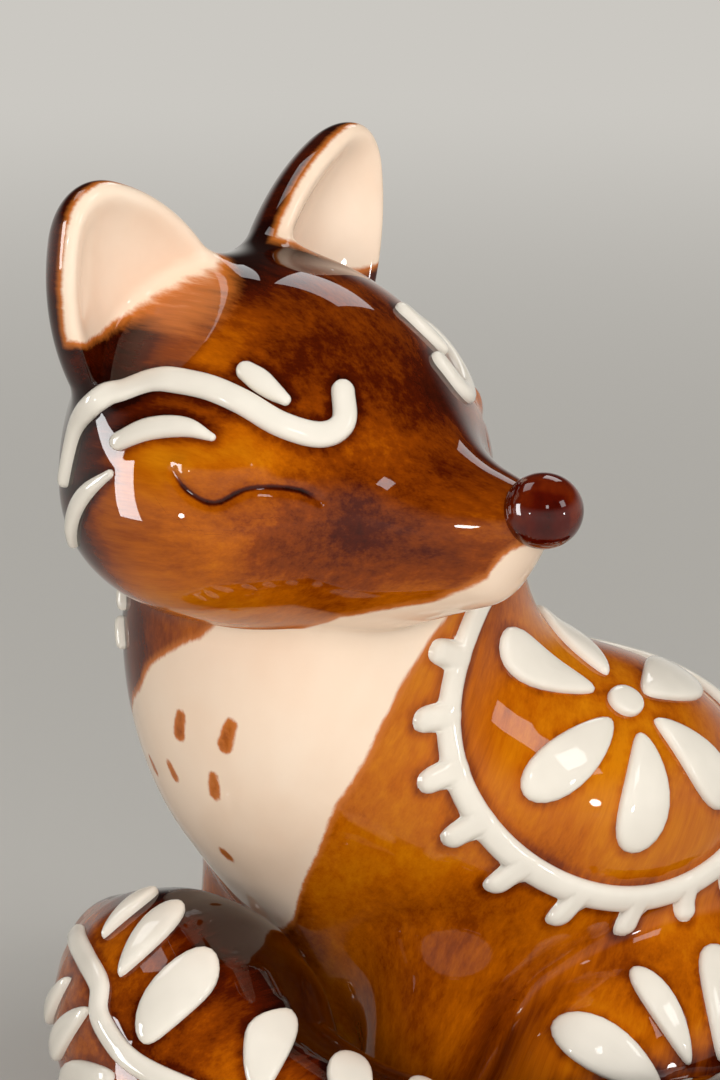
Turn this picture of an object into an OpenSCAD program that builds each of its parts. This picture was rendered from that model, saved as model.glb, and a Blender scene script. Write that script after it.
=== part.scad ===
// Seated fox figurine in glazed earthenware, looking back over its left shoulder.
// Hollow body and head castings, pressed ears, legs and tail luted on, and slip relief on the skin.
// Frame: chest towards -Y, rump towards +Y, the fox's left flank towards +X, foot ring plane at Z = 0.

/* [Body] */
// Centre of the chest and neck egg: left, back, up
chest_at = [0, -14, 58]; // [-60:0.5:90]
// Half width, half depth and half height of the chest egg
chest_r = [20.5, 21, 30]; // [14:0.5:40]
// Centre of the barrel behind the chest
barrel_at = [0, 19, 23]; // [-40:0.5:60]
// Half width, half length and half height of the barrel
barrel_r = [26, 37, 24.5]; // [16:0.5:55]
// Fall of the back towards the rump, in degrees
barrel_fall = 12; // [4:1:18]
// Centre of the left flank pillow that carries the medallion
flank_at = [12.5, 8, 37.5]; // [-20:0.5:50]
// Half sizes of the flank pillow
flank_r = [17.5, 28.5, 17]; // [12:0.5:34]
// Fall of the flank pillow towards the rump, in degrees
flank_fall = 16; // [6:1:20]
// Centre of the left shoulder
shoulder_at = [13, 1, 32]; // [-20:0.5:50]
// Half sizes of the shoulder
shoulder_r = [12, 13, 17]; // [8:0.5:24]
// Centre of the low foot under the belly
belly_at = [0, 12, 3]; // [-20:0.5:30]
// Half sizes of the low foot under the belly
belly_r = [20, 24, 9]; // [6:0.5:36]
// Wall of the body casting
body_wall = 3.2; // [2:0.1:5]
// Radius of the vent in the base
vent_r = 5; // [3:0.5:8]

/* [Legs] */
// Elbow, or top, of the left foreleg
elbow_at = [13, -9, 24]; // [-30:0.5:40]
// Wrist, or foot, of the left foreleg
wrist_at = [12, -13, 7]; // [-30:0.5:40]
// Radius of the foreleg at the elbow
elbow_r = 8; // [5:0.5:11]
// Radius of the foreleg at the wrist
wrist_r = 6; // [4:0.5:8]
// Half sizes of a fore paw
paw_r = [6.5, 8.5, 5.2]; // [4:0.1:11]
// Centre of the left thigh
thigh_at = [24, 14, 12]; // [0:0.5:40]
// Half sizes of the thigh
thigh_r = [13, 25, 17]; // [9:0.5:32]
// Turn of the thigh out of line with the body, in degrees
thigh_turn = 6; // [0:1:12]
// Length of the hind foot, from heel to toes
hind_foot = 19; // [12:0.5:26]
// Radius of the hind foot at the heel
heel_r = 9; // [6:0.5:12]
// Radius of the hind foot at the toes
toe_r = 5.6; // [4:0.1:8]

/* [Head] */
// Centre of the skull
head_at = [2, -24, 80]; // [-40:0.5:110]
// Half length, half width and half height of the skull
skull_r = [19.5, 20, 17.5]; // [14:0.5:28]
// Turn of the head from +X, in degrees
head_turn = 7; // [-10:1:20]
// Tilt of the head that lifts its left ear, in degrees
head_tilt = 3; // [-5:0.5:8]
// Half sizes of a cheek
cheek_r = [14.7, 13, 9.7]; // [8:0.1:20]
// Length of the muzzle, from the skull's centre
muzzle_l = 30.5; // [26:0.5:36]
// Radius of the muzzle under the nose
muzzle_r = 4.3; // [3:0.1:6]
// Radius of the nose ball
nose_r = 3.9; // [3:0.1:5]
// Wall of the head casting
head_wall = 3; // [2:0.1:4.5]
// Radius of the neck collar that keys into the head
collar_r = 9; // [7:0.5:11]
// Length of the collar above and below the joint
collar_l = 6; // [4:0.5:8]

/* [Ears] */
// Root of the left ear, from the skull's centre: forward, left, up
ear_root = [-4, 12.4, 12]; // [-14:0.1:18]
// Length of an ear, from root to tip
ear_l = 17.7; // [12:0.1:24]
// Half width of an ear
ear_w = 10; // [7:0.1:13]
// Lean of an ear away from the middle, in degrees
ear_lean = 29; // [15:1:40]
// Turn of an ear's mouth away from the muzzle, in degrees
ear_turn = 7; // [0:1:25]
// Depth of the cup behind the ear's rim
ear_cup = 4.8; // [3:0.1:6]

/* [Tail] */
// Radius of the tail at its root
tail_root_r = 6.5; // [4:0.5:9]
// Radius of the tail beside the thigh
tail_mid_r = 8.2; // [6:0.1:11]
// Radius of the brush, the thick end of the tail
brush_r = 13.5; // [10:0.5:17]
// Radius of the tail's tip
tip_r = 6.5; // [4:0.5:9]
// Height of the middle of the tip above the table
tip_z = 25.4; // [20:0.1:34]

/* [Slip relief] */
// Height of the slip relief above the skin
relief_h = 0.9; // [0.4:0.1:1.6]
// Depth of the relief's root under the skin
relief_root = 0.5; // [0.3:0.1:1]
// Centre of the left medallion before it is pressed on to the flank
medallion_at = [23.3, 4.7, 49.9]; // [0:0.1:60]
// Radius of the medallion's ring along the body
ring_a = 21.6; // [16:0.1:25]
// Radius of the medallion's ring across the body
ring_b = 19.7; // [14:0.1:21.5]
// Width of the ring's band
band_w = 2.2; // [1.4:0.1:3]
// Teeth round the ring
tooth_n = 21; // [14:1:24]
// Width of a tooth
tooth_w = 2.2; // [1.2:0.1:2.8]
// Length of a tooth outside the band
tooth_l = 2.8; // [1.5:0.1:3.4]
// How far the hand-trailed teeth stray from even steps
tooth_drift = 1.1; // [0:0.1:1.4]
// Petals of the flower
petal_n = 6; // [4:1:8]
// Gap between a petal and the band
petal_gap = 3.4; // [1.5:0.1:5]
// Half width of a petal at its round end
petal_w = 3.4; // [2:0.1:4.5]
// Distance of a petal's root from the middle of the flower
petal_start = 3.6; // [2.8:0.1:5]
// Half sizes of the button in the middle of the flower
button_r = [2.2, 1.8]; // [1:0.1:2.6]
// Width of a brow scroll
scroll_w = 2.6; // [1.6:0.1:3.4]
// Width of the tail's stem
stem_w = 2.3; // [1.4:0.1:3]
// Length of the longest leaflets
leaflet_l = 12.2; // [8:0.1:14]
// Half width of the longest leaflets
leaflet_w = 2.9; // [1.5:0.1:3.4]
// Step from one pair of leaflets to the next
leaflet_step = 9.4; // [8.5:0.1:11]
// Distance of a leaflet's root from the middle of the stem
leaflet_gap = 2.2; // [1.8:0.1:4]
// Petals of the fan on a thigh
fan_n = 5; // [3:1:7]
// Length of a petal of the fan
fan_l = 12; // [8:0.5:14]
// Distance of the fan's petals from its middle
fan_start = 7; // [5:0.5:9]

/* [Hidden] */
glaze = [0.64, 0.31, 0.07];
dark_glaze = [0.30, 0.10, 0.03];
slip = [0.93, 0.91, 0.86];
// Heel of the left hind foot, low in the thigh, and its toes
heel_at = [thigh_at.x + 1, thigh_at.y - 10, heel_r];
toe_at = [heel_at.x - 1.5, heel_at.y - hind_foot, toe_r - 0.6];
// Middle of the left fore paw
paw_at = [wrist_at.x, wrist_at.y - 5, paw_r.z - 1.2];
// Softness of the joins, as the width over which two forms run together
soft_neck = 12;
soft_flank = 8;
soft_shoulder = 6;
soft_leg = 4;
soft_belly = 6;
soft_thigh = 3;
soft_ear = 3;
// Farthest that any skin lies from the line inside its piece
far = 60;

// Smooth lesser and smooth greater of two distances
function smin(a, b, k) = let (h = max(k - abs(a - b), 0) / k) min(a, b) - h * h * k / 4;
function smax(a, b, k) = -smin(-a, -b, k);
function flip(v, s) = [s * v.x, v.y, v.z];
function unit(v) = v / norm(v);
function mix(a, b, t) = a + (b - a) * t;
function over(v, r) = [v.x / r.x, v.y / r.y, v.z / r.z];
function roll(v, a) = [v.x, cos(a) * v.y - sin(a) * v.z, sin(a) * v.y + cos(a) * v.z];
function turn(v, a) = [cos(a) * v.x - sin(a) * v.y, sin(a) * v.x + cos(a) * v.y, v.z];

// Distance from v to an ellipsoid about the origin
function egg(v, r) = let (k = norm(over(v, r))) k * (k - 1) / max(norm(over(over(v, r), r)), 1e-6);

// Distance from p to a limb: two balls and the cone between them
function limb(p, a, b, ra, rb) =
    let (ab = b - a,
         l = norm(ab),
         t = (p - a) * ab / (l * l),
         s = (ra - rb) / l,
         d = norm(p - a - t * ab),
         u = min(max(t - d * s / sqrt(max(1 - s * s, 1e-3)) / l, 0), 1))
    norm(p - a - u * ab) - mix(ra, rb, u);

// Body forms
function pillow(p, s) = egg(roll(p - flip(flank_at, s), flank_fall), flank_r);
function shoulder(p, s) = egg(roll(p - flip(shoulder_at, s), -barrel_fall), shoulder_r);
function trunk(p) =
    let (a = smin(egg(p - chest_at, chest_r), egg(roll(p - barrel_at, barrel_fall), barrel_r), soft_neck),
         b = smin(smin(a, pillow(p, 1), soft_flank), pillow(p, -1), soft_flank),
         c = smin(smin(b, shoulder(p, 1), soft_shoulder), shoulder(p, -1), soft_shoulder))
    smin(c, egg(p - belly_at, belly_r), soft_belly);
function foreleg(p, s) =
    smin(limb(p, flip(elbow_at, s), flip(wrist_at, s), elbow_r, wrist_r), egg(p - flip(paw_at, s), paw_r), 3);
function haunch(p, s) =
    smin(egg(turn(p - flip(thigh_at, s), -s * thigh_turn), thigh_r),
         limb(p, flip(heel_at, s), flip(toe_at, s), heel_r, toe_r), 5);
function legs(p, s) = min(foreleg(p, s), haunch(p, s));
function body(p) =
    let (s = sign(p.x + 1e-9))
    smin(smin(trunk(p), foreleg(p, s), soft_leg), haunch(p, s), soft_thigh);

// Head forms, in the head's own frame: muzzle along +X, left ear towards +Y
function to_head(p) = roll(turn(p - head_at, -head_turn), -head_tilt);
function skull(q) =
    let (cheek = [2.2, cheek_r.y * 0.76, skull_r.z - cheek_r.z - 13.6],
         a = egg(q, skull_r),
         b = smin(a, egg(q - cheek, cheek_r), 8),
         c = smin(b, egg(q - [cheek.x, -cheek.y, cheek.z], cheek_r), 8),
         d = smin(c, limb(q, [8, 0, -5.1], [muzzle_l, 0, -5.3], 11, muzzle_r), 9))
    smin(d, limb(q, [15, 0, -9.4], [muzzle_l - 3.2, 0, -9.9], 8.3, muzzle_r - 0.2), 5);
// A leaf is two balls that cross, pressed flat along X
function leaf(v, w, l, flat, k) =
    let (big = (w * w + l * l) / (2 * w),
         x = v.x / flat)
    flat * smax(norm([x, v.y - big + w, v.z]) - big, norm([x, v.y + big - w, v.z]) - big, k);
ear_up = [0, sin(ear_lean), cos(ear_lean)];
ear_mouth = unit([cos(ear_turn), sin(ear_turn) * cos(ear_lean), -sin(ear_turn) * sin(ear_lean)]);
ear_across = cross(ear_up, ear_mouth);
ear_flat = 0.4;
// A point beside the left ear's root, in the ear's own frame: mouth, across, up
function to_ear(q) = let (v = q - ear_root) [v * ear_mouth, v * ear_across, v * ear_up];
function ear(q) =
    let (v = to_ear([q.x, abs(q.y), q.z]))
    smax(leaf(v, ear_w, ear_l + 1.4, ear_flat, 5),
         -leaf(v - [ear_cup, 0, 0.6], ear_w - 0.1, ear_l + 0.6, ear_flat, 4), 1);
function head(q) = smin(skull(q), ear(q), soft_ear);
nose_at = [muzzle_l + muzzle_r + 0.4, 0, -3.6];

// Each casting's share of the whole skin
function trunk_share(p) =
    let (s = sign(p.x + 1e-9))
    max(body(p), (trunk(p) - legs(p, s)) / 2);
function foreleg_share(p) = max(body(p), (foreleg(p, 1) - min(trunk(p), haunch(p, 1))) / 2);
function haunch_share(p) = max(body(p), (haunch(p, 1) - min(trunk(p), foreleg(p, 1))) / 2);
function skull_share(q) = max(head(q), (skull(q) - ear(q)) / 2);
function ear_share(q) = max(head(q), (ear(q) - skull(q)) / 2, 0.2 - q.y);

// Distance along d from o, inside the form, to the skin of f, by halving and one last straight step
function reach(f, o, d, lo = 0, hi = far, n = 10) =
    n == 0
    ? let (a = f(o + lo * d), b = f(o + hi * d)) (a < 0 && b > a ? min(lo - (hi - lo) * a / (b - a), hi) : lo)
    : let (m = (lo + hi) / 2) f(o + m * d) < 0 ? reach(f, o, d, m, hi, n - 1) : reach(f, o, d, lo, m, n - 1);

// Rays from the line a-b: a fan over each end and rings between, as [origin, direction] in rows
function rays(a, b, side, n, caps, rings) =
    let (w = unit(b - a),
         u = unit(cross(side, w)),
         v = cross(w, u))
    [for (i = [1 : 2 * caps + rings - 1])
        let (k = i <= caps ? 90 * i / caps : i < caps + rings ? 90 : 90 + 90 * (i - caps - rings) / caps,
             o = mix(a, b, min(max((i - caps) / rings, 0), 1)))
        [for (j = [0 : n - 1]) [o, sin(k) * (cos(360 * j / n) * u + sin(360 * j / n) * v) - cos(k) * w]]];

// Closed triangle skin over rows of points, with a point at each end
function row_faces(m, n) = concat(
    [for (j = [0 : n - 1]) [0, 1 + j, 1 + (j + 1) % n]],
    [for (i = [0 : m - 2], j = [0 : n - 1], k = [0, 1])
        let (a = 1 + i * n + j, b = 1 + i * n + (j + 1) % n)
        k == 0 ? [a, a + n, b] : [b, a + n, b + n]],
    [for (j = [0 : n - 1]) let (a = 1 + (m - 1) * n) [1 + m * n, a + (j + 1) % n, a + j]]);
module row_solid(first, rows, last) {
    polyhedron(points = concat([first], [for (r = rows) each r], [last]),
               faces = row_faces(len(rows), len(rows[0])));
}
module ray_solid(f, a, b, side, n, caps, rings, most = far) {
    w = unit(b - a);
    skin = function (o, d) o + reach(f, o, d, 0, most) * d;
    rows = [for (r = rays(a, b, side, n, caps, rings)) [for (q = r) skin(q[0], q[1])]];
    row_solid(skin(a, -w), rows, skin(b, w));
}
module below_table() {
    translate([-far * 2, -far * 2, -far]) cube([far * 4, far * 4, far]);
}
module in_head() {
    translate(head_at) rotate([head_tilt, 0, head_turn]) children();
}
module right() {
    mirror([1, 0, 0]) children();
}

// Lines inside the castings, from which their skins are reached
trunk_a = [0, chest_at.y + 6, chest_at.z - 8];
trunk_b = [0, barrel_at.y + 0.3 * barrel_r.y, barrel_at.z - 1];
skull_b = [18, 0, -6];
// Foot of the collar's key, under the skull, and the top of the hollow in the neck
collar_at = [0, head_at.y + 4, head_at.z - skull_r.z + 2];
neck_top = collar_at.z - body_wall;

module skull_solid() {
    in_head() ray_solid(function (q) skull_share(q), [0, 0, 0], skull_b, [0, 1, 0], 32, 8, 6);
}
module body_shell() {
    color(glaze) difference() {
        union() {
            difference() {
                ray_solid(function (p) trunk_share(p), trunk_a, trunk_b, [1, 0, 0], 36, 7, 8);
                ray_solid(function (p) max(trunk_share(p) + body_wall, body_wall - p.z, p.z - neck_top),
                          trunk_a, trunk_b, [1, 0, 0], 20, 5, 5);
                skull_solid();
                below_table();
            }
            translate(collar_at - [0, 0, collar_l]) cylinder(h = 2 * collar_l, r = collar_r, $fn = 48);
        }
        translate(collar_at - [0, 0, collar_l + 1])
            cylinder(h = 2 * collar_l + 2, r = collar_r - body_wall, $fn = 48);
        translate([0, barrel_at.y, -1]) cylinder(h = body_wall + 2, r = vent_r, $fn = 48);
    }
}
module head_shell() {
    color(glaze) difference() {
        skull_solid();
        in_head() ray_solid(function (q) skull_share(q) + head_wall, [0, 0, 0], skull_b, [0, 1, 0], 18, 5, 3);
        nose();
        translate(collar_at - [0, 0, collar_l + 3]) cylinder(h = 2 * collar_l + 3.2, r = collar_r + 0.2, $fn = 48);
    }
}
// Middle of an ear's thickness at height z above its root
function ear_core(z) =
    let (depth = function (w, l, h) ear_flat * sqrt(max(pow((w * w + l * l) / (2 * w), 2)
                                                        - pow((w * w + l * l) / (2 * w) - w, 2) - h * h, 0)),
         x = (ear_cup - depth(ear_w - 0.1, ear_l + 0.6, z - 0.6) - depth(ear_w, ear_l + 1.4, z)) / 2)
    ear_root + x * ear_mouth + z * ear_up;
module ear_left() {
    color(glaze) in_head()
        ray_solid(function (q) ear_share(q), ear_core(ear_l / 3), ear_core(0.72 * ear_l),
                  ear_across, 20, 5, 5, 0.9 * ear_l);
}
module ear_right() {
    color(glaze) in_head() mirror([0, 1, 0])
        ray_solid(function (q) ear_share(q), ear_core(ear_l / 3), ear_core(0.72 * ear_l),
                  ear_across, 20, 5, 5, 0.9 * ear_l);
}
module nose() {
    color(dark_glaze) in_head() translate(nose_at) sphere(r = nose_r, $fn = 48);
}
module foreleg_left() {
    color(glaze) difference() {
        ray_solid(function (p) foreleg_share(p), paw_at + [0, 1, 1], mix(wrist_at, elbow_at, 0.6),
                  [1, 0, 0], 16, 4, 5, 20);
        below_table();
    }
}
module foreleg_right() {
    right() foreleg_left();
}
module haunch_left() {
    color(glaze) difference() {
        ray_solid(function (p) haunch_share(p), toe_at + [0, 4, 0.5], thigh_at + [4, 8, -2],
                  [0, 0, 1], 18, 5, 7, 30);
        below_table();
    }
}
module haunch_right() {
    right() haunch_left();
}

// Smooth curve through the values of a list, points or numbers, at t from 0 to the last index
function past(v, i) = i < 0 ? 2 * v[0] - v[1] : i >= len(v) ? 2 * v[len(v) - 1] - v[len(v) - 2] : v[i];
function curve(v, t) =
    let (i = min(max(floor(t), 0), len(v) - 2),
         s = t - i,
         a = past(v, i - 1), b = v[i], c = v[i + 1], d = past(v, i + 2))
    (2 * b + (c - a) * s + (2 * a - 5 * b + 4 * c - d) * s * s + (3 * b - a - 3 * c + d) * s * s * s) / 2;

// Route of the tail: out of the rump, round the left thigh and up before the chest
thigh_side = thigh_at.x + thigh_r.x + tail_mid_r - 1.6;
rump_y = barrel_at.y + barrel_r.y;
chest_y = chest_at.y - chest_r.y;
tail_path = [[3, rump_y - 14, tail_root_r + 6.5],
             [19, rump_y - 2, tail_root_r + 3],
             [thigh_side - 5.5, rump_y - 13, tail_mid_r],
             [thigh_side, thigh_at.y + 4, tail_mid_r - 0.2],
             [thigh_side - 2, thigh_at.y - 22, tail_mid_r],
             [thigh_side - 15, chest_y + 5, brush_r - 4.5],
             [thigh_side - 30, chest_y - 3, brush_r + 0.5],
             [3.5, chest_y - 1, tip_z - 4.9],
             [-7, chest_y + 0.2, tip_z]];
tail_sizes = [tail_root_r, tail_root_r + 0.5, tail_mid_r - 0.4, tail_mid_r, tail_mid_r + 0.8,
              brush_r - 3, brush_r - 1, brush_r, tip_r];
tail_last = len(tail_path) - 1;
tail_parts = 4;
tail_pts = [for (i = [0 : tail_last * tail_parts]) curve(tail_path, i / tail_parts)];
tail_rad = [for (i = [0 : tail_last * tail_parts]) curve(tail_sizes, i / tail_parts)];
// Distance from p to the tail, near place t on its route
function tail_near(p, t, span = 4) =
    let (i = round(t * tail_parts))
    min([for (k = [max(i - span, 0) : min(i + span, len(tail_pts) - 1) - 1])
        limb(p, tail_pts[k], tail_pts[k + 1], tail_rad[k], tail_rad[k + 1])]);
function tail_share(p, t) = let (a = tail_near(p, t)) a > 0 ? a : max(a, -body(p));
// Frame on the tail's route: along it, out from the body, and up
function tail_along(t) = unit(curve(tail_path, min(t + 0.05, tail_last)) - curve(tail_path, t - 0.05));
function tail_out(t) = unit(cross([0, 0, 1], tail_along(t)));
function tail_ray(t, a) = let (o = tail_out(t)) cos(a) * o + sin(a) * cross(tail_along(t), o);
// Skin of the tail at place t, at angle a up from the outside
function tail_skin(t, a) =
    let (o = curve(tail_path, t), d = tail_ray(t, a))
    o + reach(function (p) tail_near(p, t), o, d, 0, 2 * brush_r, 8) * d;
// First place where the route is this clear of the body
tail_clear = 2;
tail_first = [for (t = [0 : 0.05 : 2]) if (body(curve(tail_path, t)) > tail_clear) t][0];
tail_rings = 30;
tail_caps = 4;
tail_sides = 18;

// Slope of a distance, and a point drawn on to its skin
function slope(f, p) =
    let (e = 0.02, v = f(p))
    [f(p + [e, 0, 0]) - v, f(p + [0, e, 0]) - v, f(p + [0, 0, e]) - v] / e;
function drawn(f, p, n = 4) =
    n == 0 ? p : let (g = slope(f, p)) drawn(f, p - g * f(p) / (g * g), n - 1);

// Length along a row of points up to each one
function running(pts) =
    [for (i = 0, l = 0; i < len(pts); l = l + norm(pts[min(i + 1, len(pts) - 1)] - pts[i]), i = i + 1) l];

// A slip-trailed stroke along a list of points on the skin of f, with its width at each point
module stroke(f, pts, widths, steps = 3) {
    last = len(pts) - 1;
    mid = [for (i = [0 : last * steps]) drawn(f, curve(pts, i / steps))];
    w = [for (i = [0 : last * steps]) curve(widths, i / steps)];
    tangent = [for (i = [0 : len(mid) - 1]) unit(mid[min(i + 1, len(mid) - 1)] - mid[max(i - 1, 0)])];
    up = [for (p = mid) unit(slope(f, p))];
    rows = [for (i = [0 : len(mid) - 1])
        let (side = cross(up[i], tangent[i]), h = relief_h * min(1, w[i] / 1.6))
        [for (q = [[0.5, -relief_root], [0.5, 0.25 * h], [0.3, 0.8 * h], [0, h],
                   [-0.3, 0.8 * h], [-0.5, 0.25 * h], [-0.5, -relief_root]])
            mid[i] + side * q[0] * w[i] + up[i] * q[1]]];
    end = len(mid) - 1;
    row_solid(mid[0] - tangent[0] * 0.45 * w[0], rows, mid[end] + tangent[end] * 0.45 * w[end]);
}

// Outline of a drop, narrow at the start and round at the end, along X
function drop_outline(l, w, n) =
    [for (i = [0 : n - 1])
        let (a = 360 * i / n, x = (1 - cos(a)) / 2)
        [l * x, -w * sin(a) * (0.35 + 0.75 * x)]];
// A low rounded drop laid on a skin: place(u, v) gives its point there, and f the skin's distance
module pebble(place, f, outline, mid) {
    pad = function (k, h) [for (q = outline)
        let (p = place(mix(mid.x, q.x, k), mix(mid.y, q.y, k))) p + h * unit(slope(f, p))];
    c = place(mid.x, mid.y);
    up = unit(slope(f, c));
    row_solid(c - relief_root * up,
              [pad(1, -relief_root), pad(1, 0.25 * relief_h), pad(0.8, 0.8 * relief_h), pad(0.4, relief_h)],
              c + 1.05 * relief_h * up);
}

// Medallion frame on the left flank: out of the skin, along the body, and up its curve
medallion_out = unit([0.77, 0.37, 0.43]);
medallion_tilt = -3.8;
medallion_level = unit([0, 1, 0] - medallion_out * medallion_out.y);
medallion_along = cos(medallion_tilt) * medallion_level
                  + sin(medallion_tilt) * cross(medallion_out, medallion_level);
medallion_up = cross(medallion_out, medallion_along);
// The point of the body's skin at offset u, v from c, measured straight from c
function wrapped(c, out, along, up, u, v) =
    let (r = max(norm([u, v]), 1e-3),
         d = (u * along + v * up) / r,
         f = function (b) -body(c + r * (cos(b) * d + sin(b) * out)),
         b = reach_angle(f, 75, -85, 11))
    c + r * (cos(b) * d + sin(b) * out);
function reach_angle(f, hi, lo, n) =
    n == 0 ? (hi + lo) / 2
    : let (m = (hi + lo) / 2) f(m) < 0 ? reach_angle(f, m, lo, n - 1) : reach_angle(f, hi, m, n - 1);
medallion_c = drawn(function (p) body(p), medallion_at);
function on_flank(u, v) = wrapped(medallion_c, medallion_out, medallion_along, medallion_up, u, v);
function ring_radius(a) = 1 / norm([cos(a) / ring_a, sin(a) / ring_b]);
// Length round the ring to its first tooth, and the turn of the flower's first petal
tooth_from = 4.4;
petal_turn = -99.5;
// The lower petals crowd together, by this many degrees at most
petal_lean = 9;

module tail() {
    first = curve(tail_path, tail_first);
    w = tail_along(tail_first);
    back = max(0.05, reach(function (p) tail_share(p, tail_first), first, -w, 0, 20));
    start = [for (i = [1 : tail_caps - 1])
        let (k = 90 * i / tail_caps)
        [for (j = [0 : tail_sides - 1])
            let (d = sin(k) * tail_ray(tail_first, 360 * j / tail_sides) - cos(k) * w)
            first + reach(function (p) tail_share(p, tail_first), first, d, 0, 2 * brush_r) * d]];
    along = [for (i = [0 : tail_rings])
        let (t = mix(tail_first, tail_last, i / tail_rings), o = curve(tail_path, t))
        [for (j = [0 : tail_sides - 1])
            let (d = tail_ray(t, 360 * j / tail_sides))
            o + reach(function (p) tail_share(p, t), o, d, 0, 2 * brush_r) * d]];
    end_w = tail_along(tail_last);
    end = curve(tail_path, tail_last);
    tip = [for (i = [1 : tail_caps - 1])
        let (k = 90 * i / tail_caps)
        [for (j = [0 : tail_sides - 1])
            end + tip_r * (cos(k) * tail_ray(tail_last, 360 * j / tail_sides) + sin(k) * end_w)]];
    color(glaze) difference() {
        row_solid(first - back * w, concat(start, along, tip), end + tip_r * end_w);
        below_table();
    }
}
module flank_ring_left() {
    f = function (p) body(p);
    // Length along the band's middle up to each angle, so that teeth are set by length and not by angle
    turns = [for (a = [0 : 5 : 360]) a];
    marks = [for (a = turns) on_flank(ring_radius(a) * cos(a), ring_radius(a) * sin(a))];
    arcs = running(marks);
    whole = arcs[len(arcs) - 1];
    table = [for (i = [0 : len(turns) - 1]) [arcs[i], turns[i]]];
    angle_at = function (l) lookup(l - (l > whole ? whole : 0), table);
    // Places across one tooth, and how much of the tooth stands there
    side = tooth_w / 2;
    shape = [[-2 * side, 0], [-1.1 * side, 0.12], [-0.75 * side, 0.9],
             [0, 1.03], [0.75 * side, 0.9], [1.1 * side, 0.12]];
    n = tooth_n * len(shape);
    pts = [for (i = [0 : tooth_n - 1], q = shape)
        let (l = tooth_from + whole * i / tooth_n + tooth_drift * sin(1080 * i / tooth_n) + q[0],
             a = angle_at(l),
             in_r = ring_radius(a) - band_w / 2,
             out_r = ring_radius(a) + band_w / 2 + tooth_l * q[1])
        each [for (e = [[in_r, -relief_root], [out_r, -relief_root], [out_r, 0.3 * relief_h],
                        [out_r - 0.5, relief_h], [in_r + 0.5, relief_h], [in_r, 0.3 * relief_h]])
            let (p = on_flank(e[0] * cos(a), e[0] * sin(a))) p + e[1] * unit(slope(f, p))]];
    color(slip) polyhedron(points = pts, faces = [for (i = [0 : n - 1], j = [0 : 5], k = [0, 1])
        let (next = (i + 1) % n,
             a = i * 6 + j,
             b = i * 6 + (j + 1) % 6,
             c = next * 6 + j,
             d = next * 6 + (j + 1) % 6)
        k == 0 ? [a, b, c] : [b, d, c]]);
}
module flank_flower_left() {
    f = function (p) body(p);
    color(slip) {
        for (i = [0 : petal_n - 1]) {
            even = petal_turn + 360 / petal_n * i;
            a = even - petal_lean * cos(even);
            l = ring_radius(a) - band_w / 2 - petal_gap - petal_start;
            pebble(function (u, v) on_flank((petal_start + u) * cos(a) - v * sin(a),
                                            (petal_start + u) * sin(a) + v * cos(a)),
                   f, drop_outline(l, petal_w, 14), [0.6 * l, 0]);
        }
        pebble(function (u, v) on_flank(u, v), f,
               [for (i = [0 : 11]) [-button_r.x * cos(30 * i), -button_r.y * sin(30 * i)]], [0.01, 0]);
    }
}
// Fan of petals on the left thigh, about a centre low on its side
fan_at = [thigh_at.x + thigh_r.x - 0.5, thigh_at.y - 10, 9];
module haunch_fan_left() {
    f = function (p) body(p);
    c = drawn(f, fan_at);
    color(slip) for (i = [0 : fan_n - 1]) {
        a = 67 + 34 * (i - (fan_n - 1) / 2);
        big = i % 2 == 0;
        pebble(function (u, v) wrapped(c, [1, 0, 0], [0, 1, 0], [0, 0, 1],
                                       (fan_start + u) * cos(a) - v * sin(a),
                                       (fan_start + u) * sin(a) + v * cos(a)),
               f, drop_outline(fan_l * (big ? 1 : 0.9), petal_w * (big ? 1 : 0.6), 12), [0.6 * fan_l, 0]);
    }
}

// Strokes on the left side of the head, in the head's frame, from rear to front
brow_pts = [[-8, 20, -2], [-6.5, 20, 3.2], [-2.4, 19.8, 7.2], [1.5, 17.8, 8.7], [6.4, 16.4, 8.5],
            [10.4, 15.2, 7.2], [14, 13.6, 5], [17, 11.2, 3.9], [18, 8.9, 4.8], [16.8, 7.4, 7.5]];
brow_share = [0.65, 0.8, 0.95, 1, 1, 1, 1, 1, 0.95, 0.9];
lid_pts = [[-0.2, 20.8, 2.9], [2.9, 20, 4.4], [6.5, 18.9, 4.8], [9.3, 18.2, 4]];
cheek_pts = [[-0.4, 21.7, -0.2], [-4.2, 21.4, -3.3], [-7.5, 20, -8]];
module face_stroke(pts, widths) {
    color(slip) in_head() stroke(function (q) head(q), pts, widths);
}
module flipped_stroke(pts, widths) {
    color(slip) in_head() mirror([0, 1, 0]) stroke(function (q) head(q), pts, widths);
}
module brow_scroll_left() {
    face_stroke(brow_pts, scroll_w * brow_share);
}
module brow_scroll_right() {
    flipped_stroke(brow_pts, scroll_w * brow_share);
}
// Drops over the brows: the right one lies further out than the left one
module brow_drop_left() {
    face_stroke([[12.3, 7.4, 12.1], [13.5, 8.6, 10.3], [14.4, 10.2, 8]], [2, 2.4, 1.8]);
}
module brow_drop_right() {
    flipped_stroke([[9.7, 13.4, 9.7], [11.1, 13.1, 8.9], [12.4, 12.8, 8], [13.6, 12.3, 7.1]], [2, 2.4, 2, 1.2]);
}
module lid_stroke_left() {
    face_stroke(lid_pts, [1.9, 2.3, 2, 0.8]);
}
module lid_stroke_right() {
    flipped_stroke(lid_pts, [1.9, 2.3, 2, 0.8]);
}
module cheek_stroke_left() {
    face_stroke(cheek_pts, [0.9, 1.9, 1.4]);
}
module cheek_stroke_right() {
    flipped_stroke(cheek_pts, [0.9, 1.9, 1.4]);
}
module nape_drops() {
    color(slip) for (z = [58.2, 62.2])
        stroke(function (p) body(p), [[-10.6, -31.6, z - 0.9], [-11.2, -31.4, z], [-11.6, -31.2, z + 0.9]],
               [1.5, 1.9, 1.5], 2);
}

// Sprig on the tail: a stem along its outside with a leaflet each side at every step
stem_angle = 31;
leaf_splay = 65;
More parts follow.
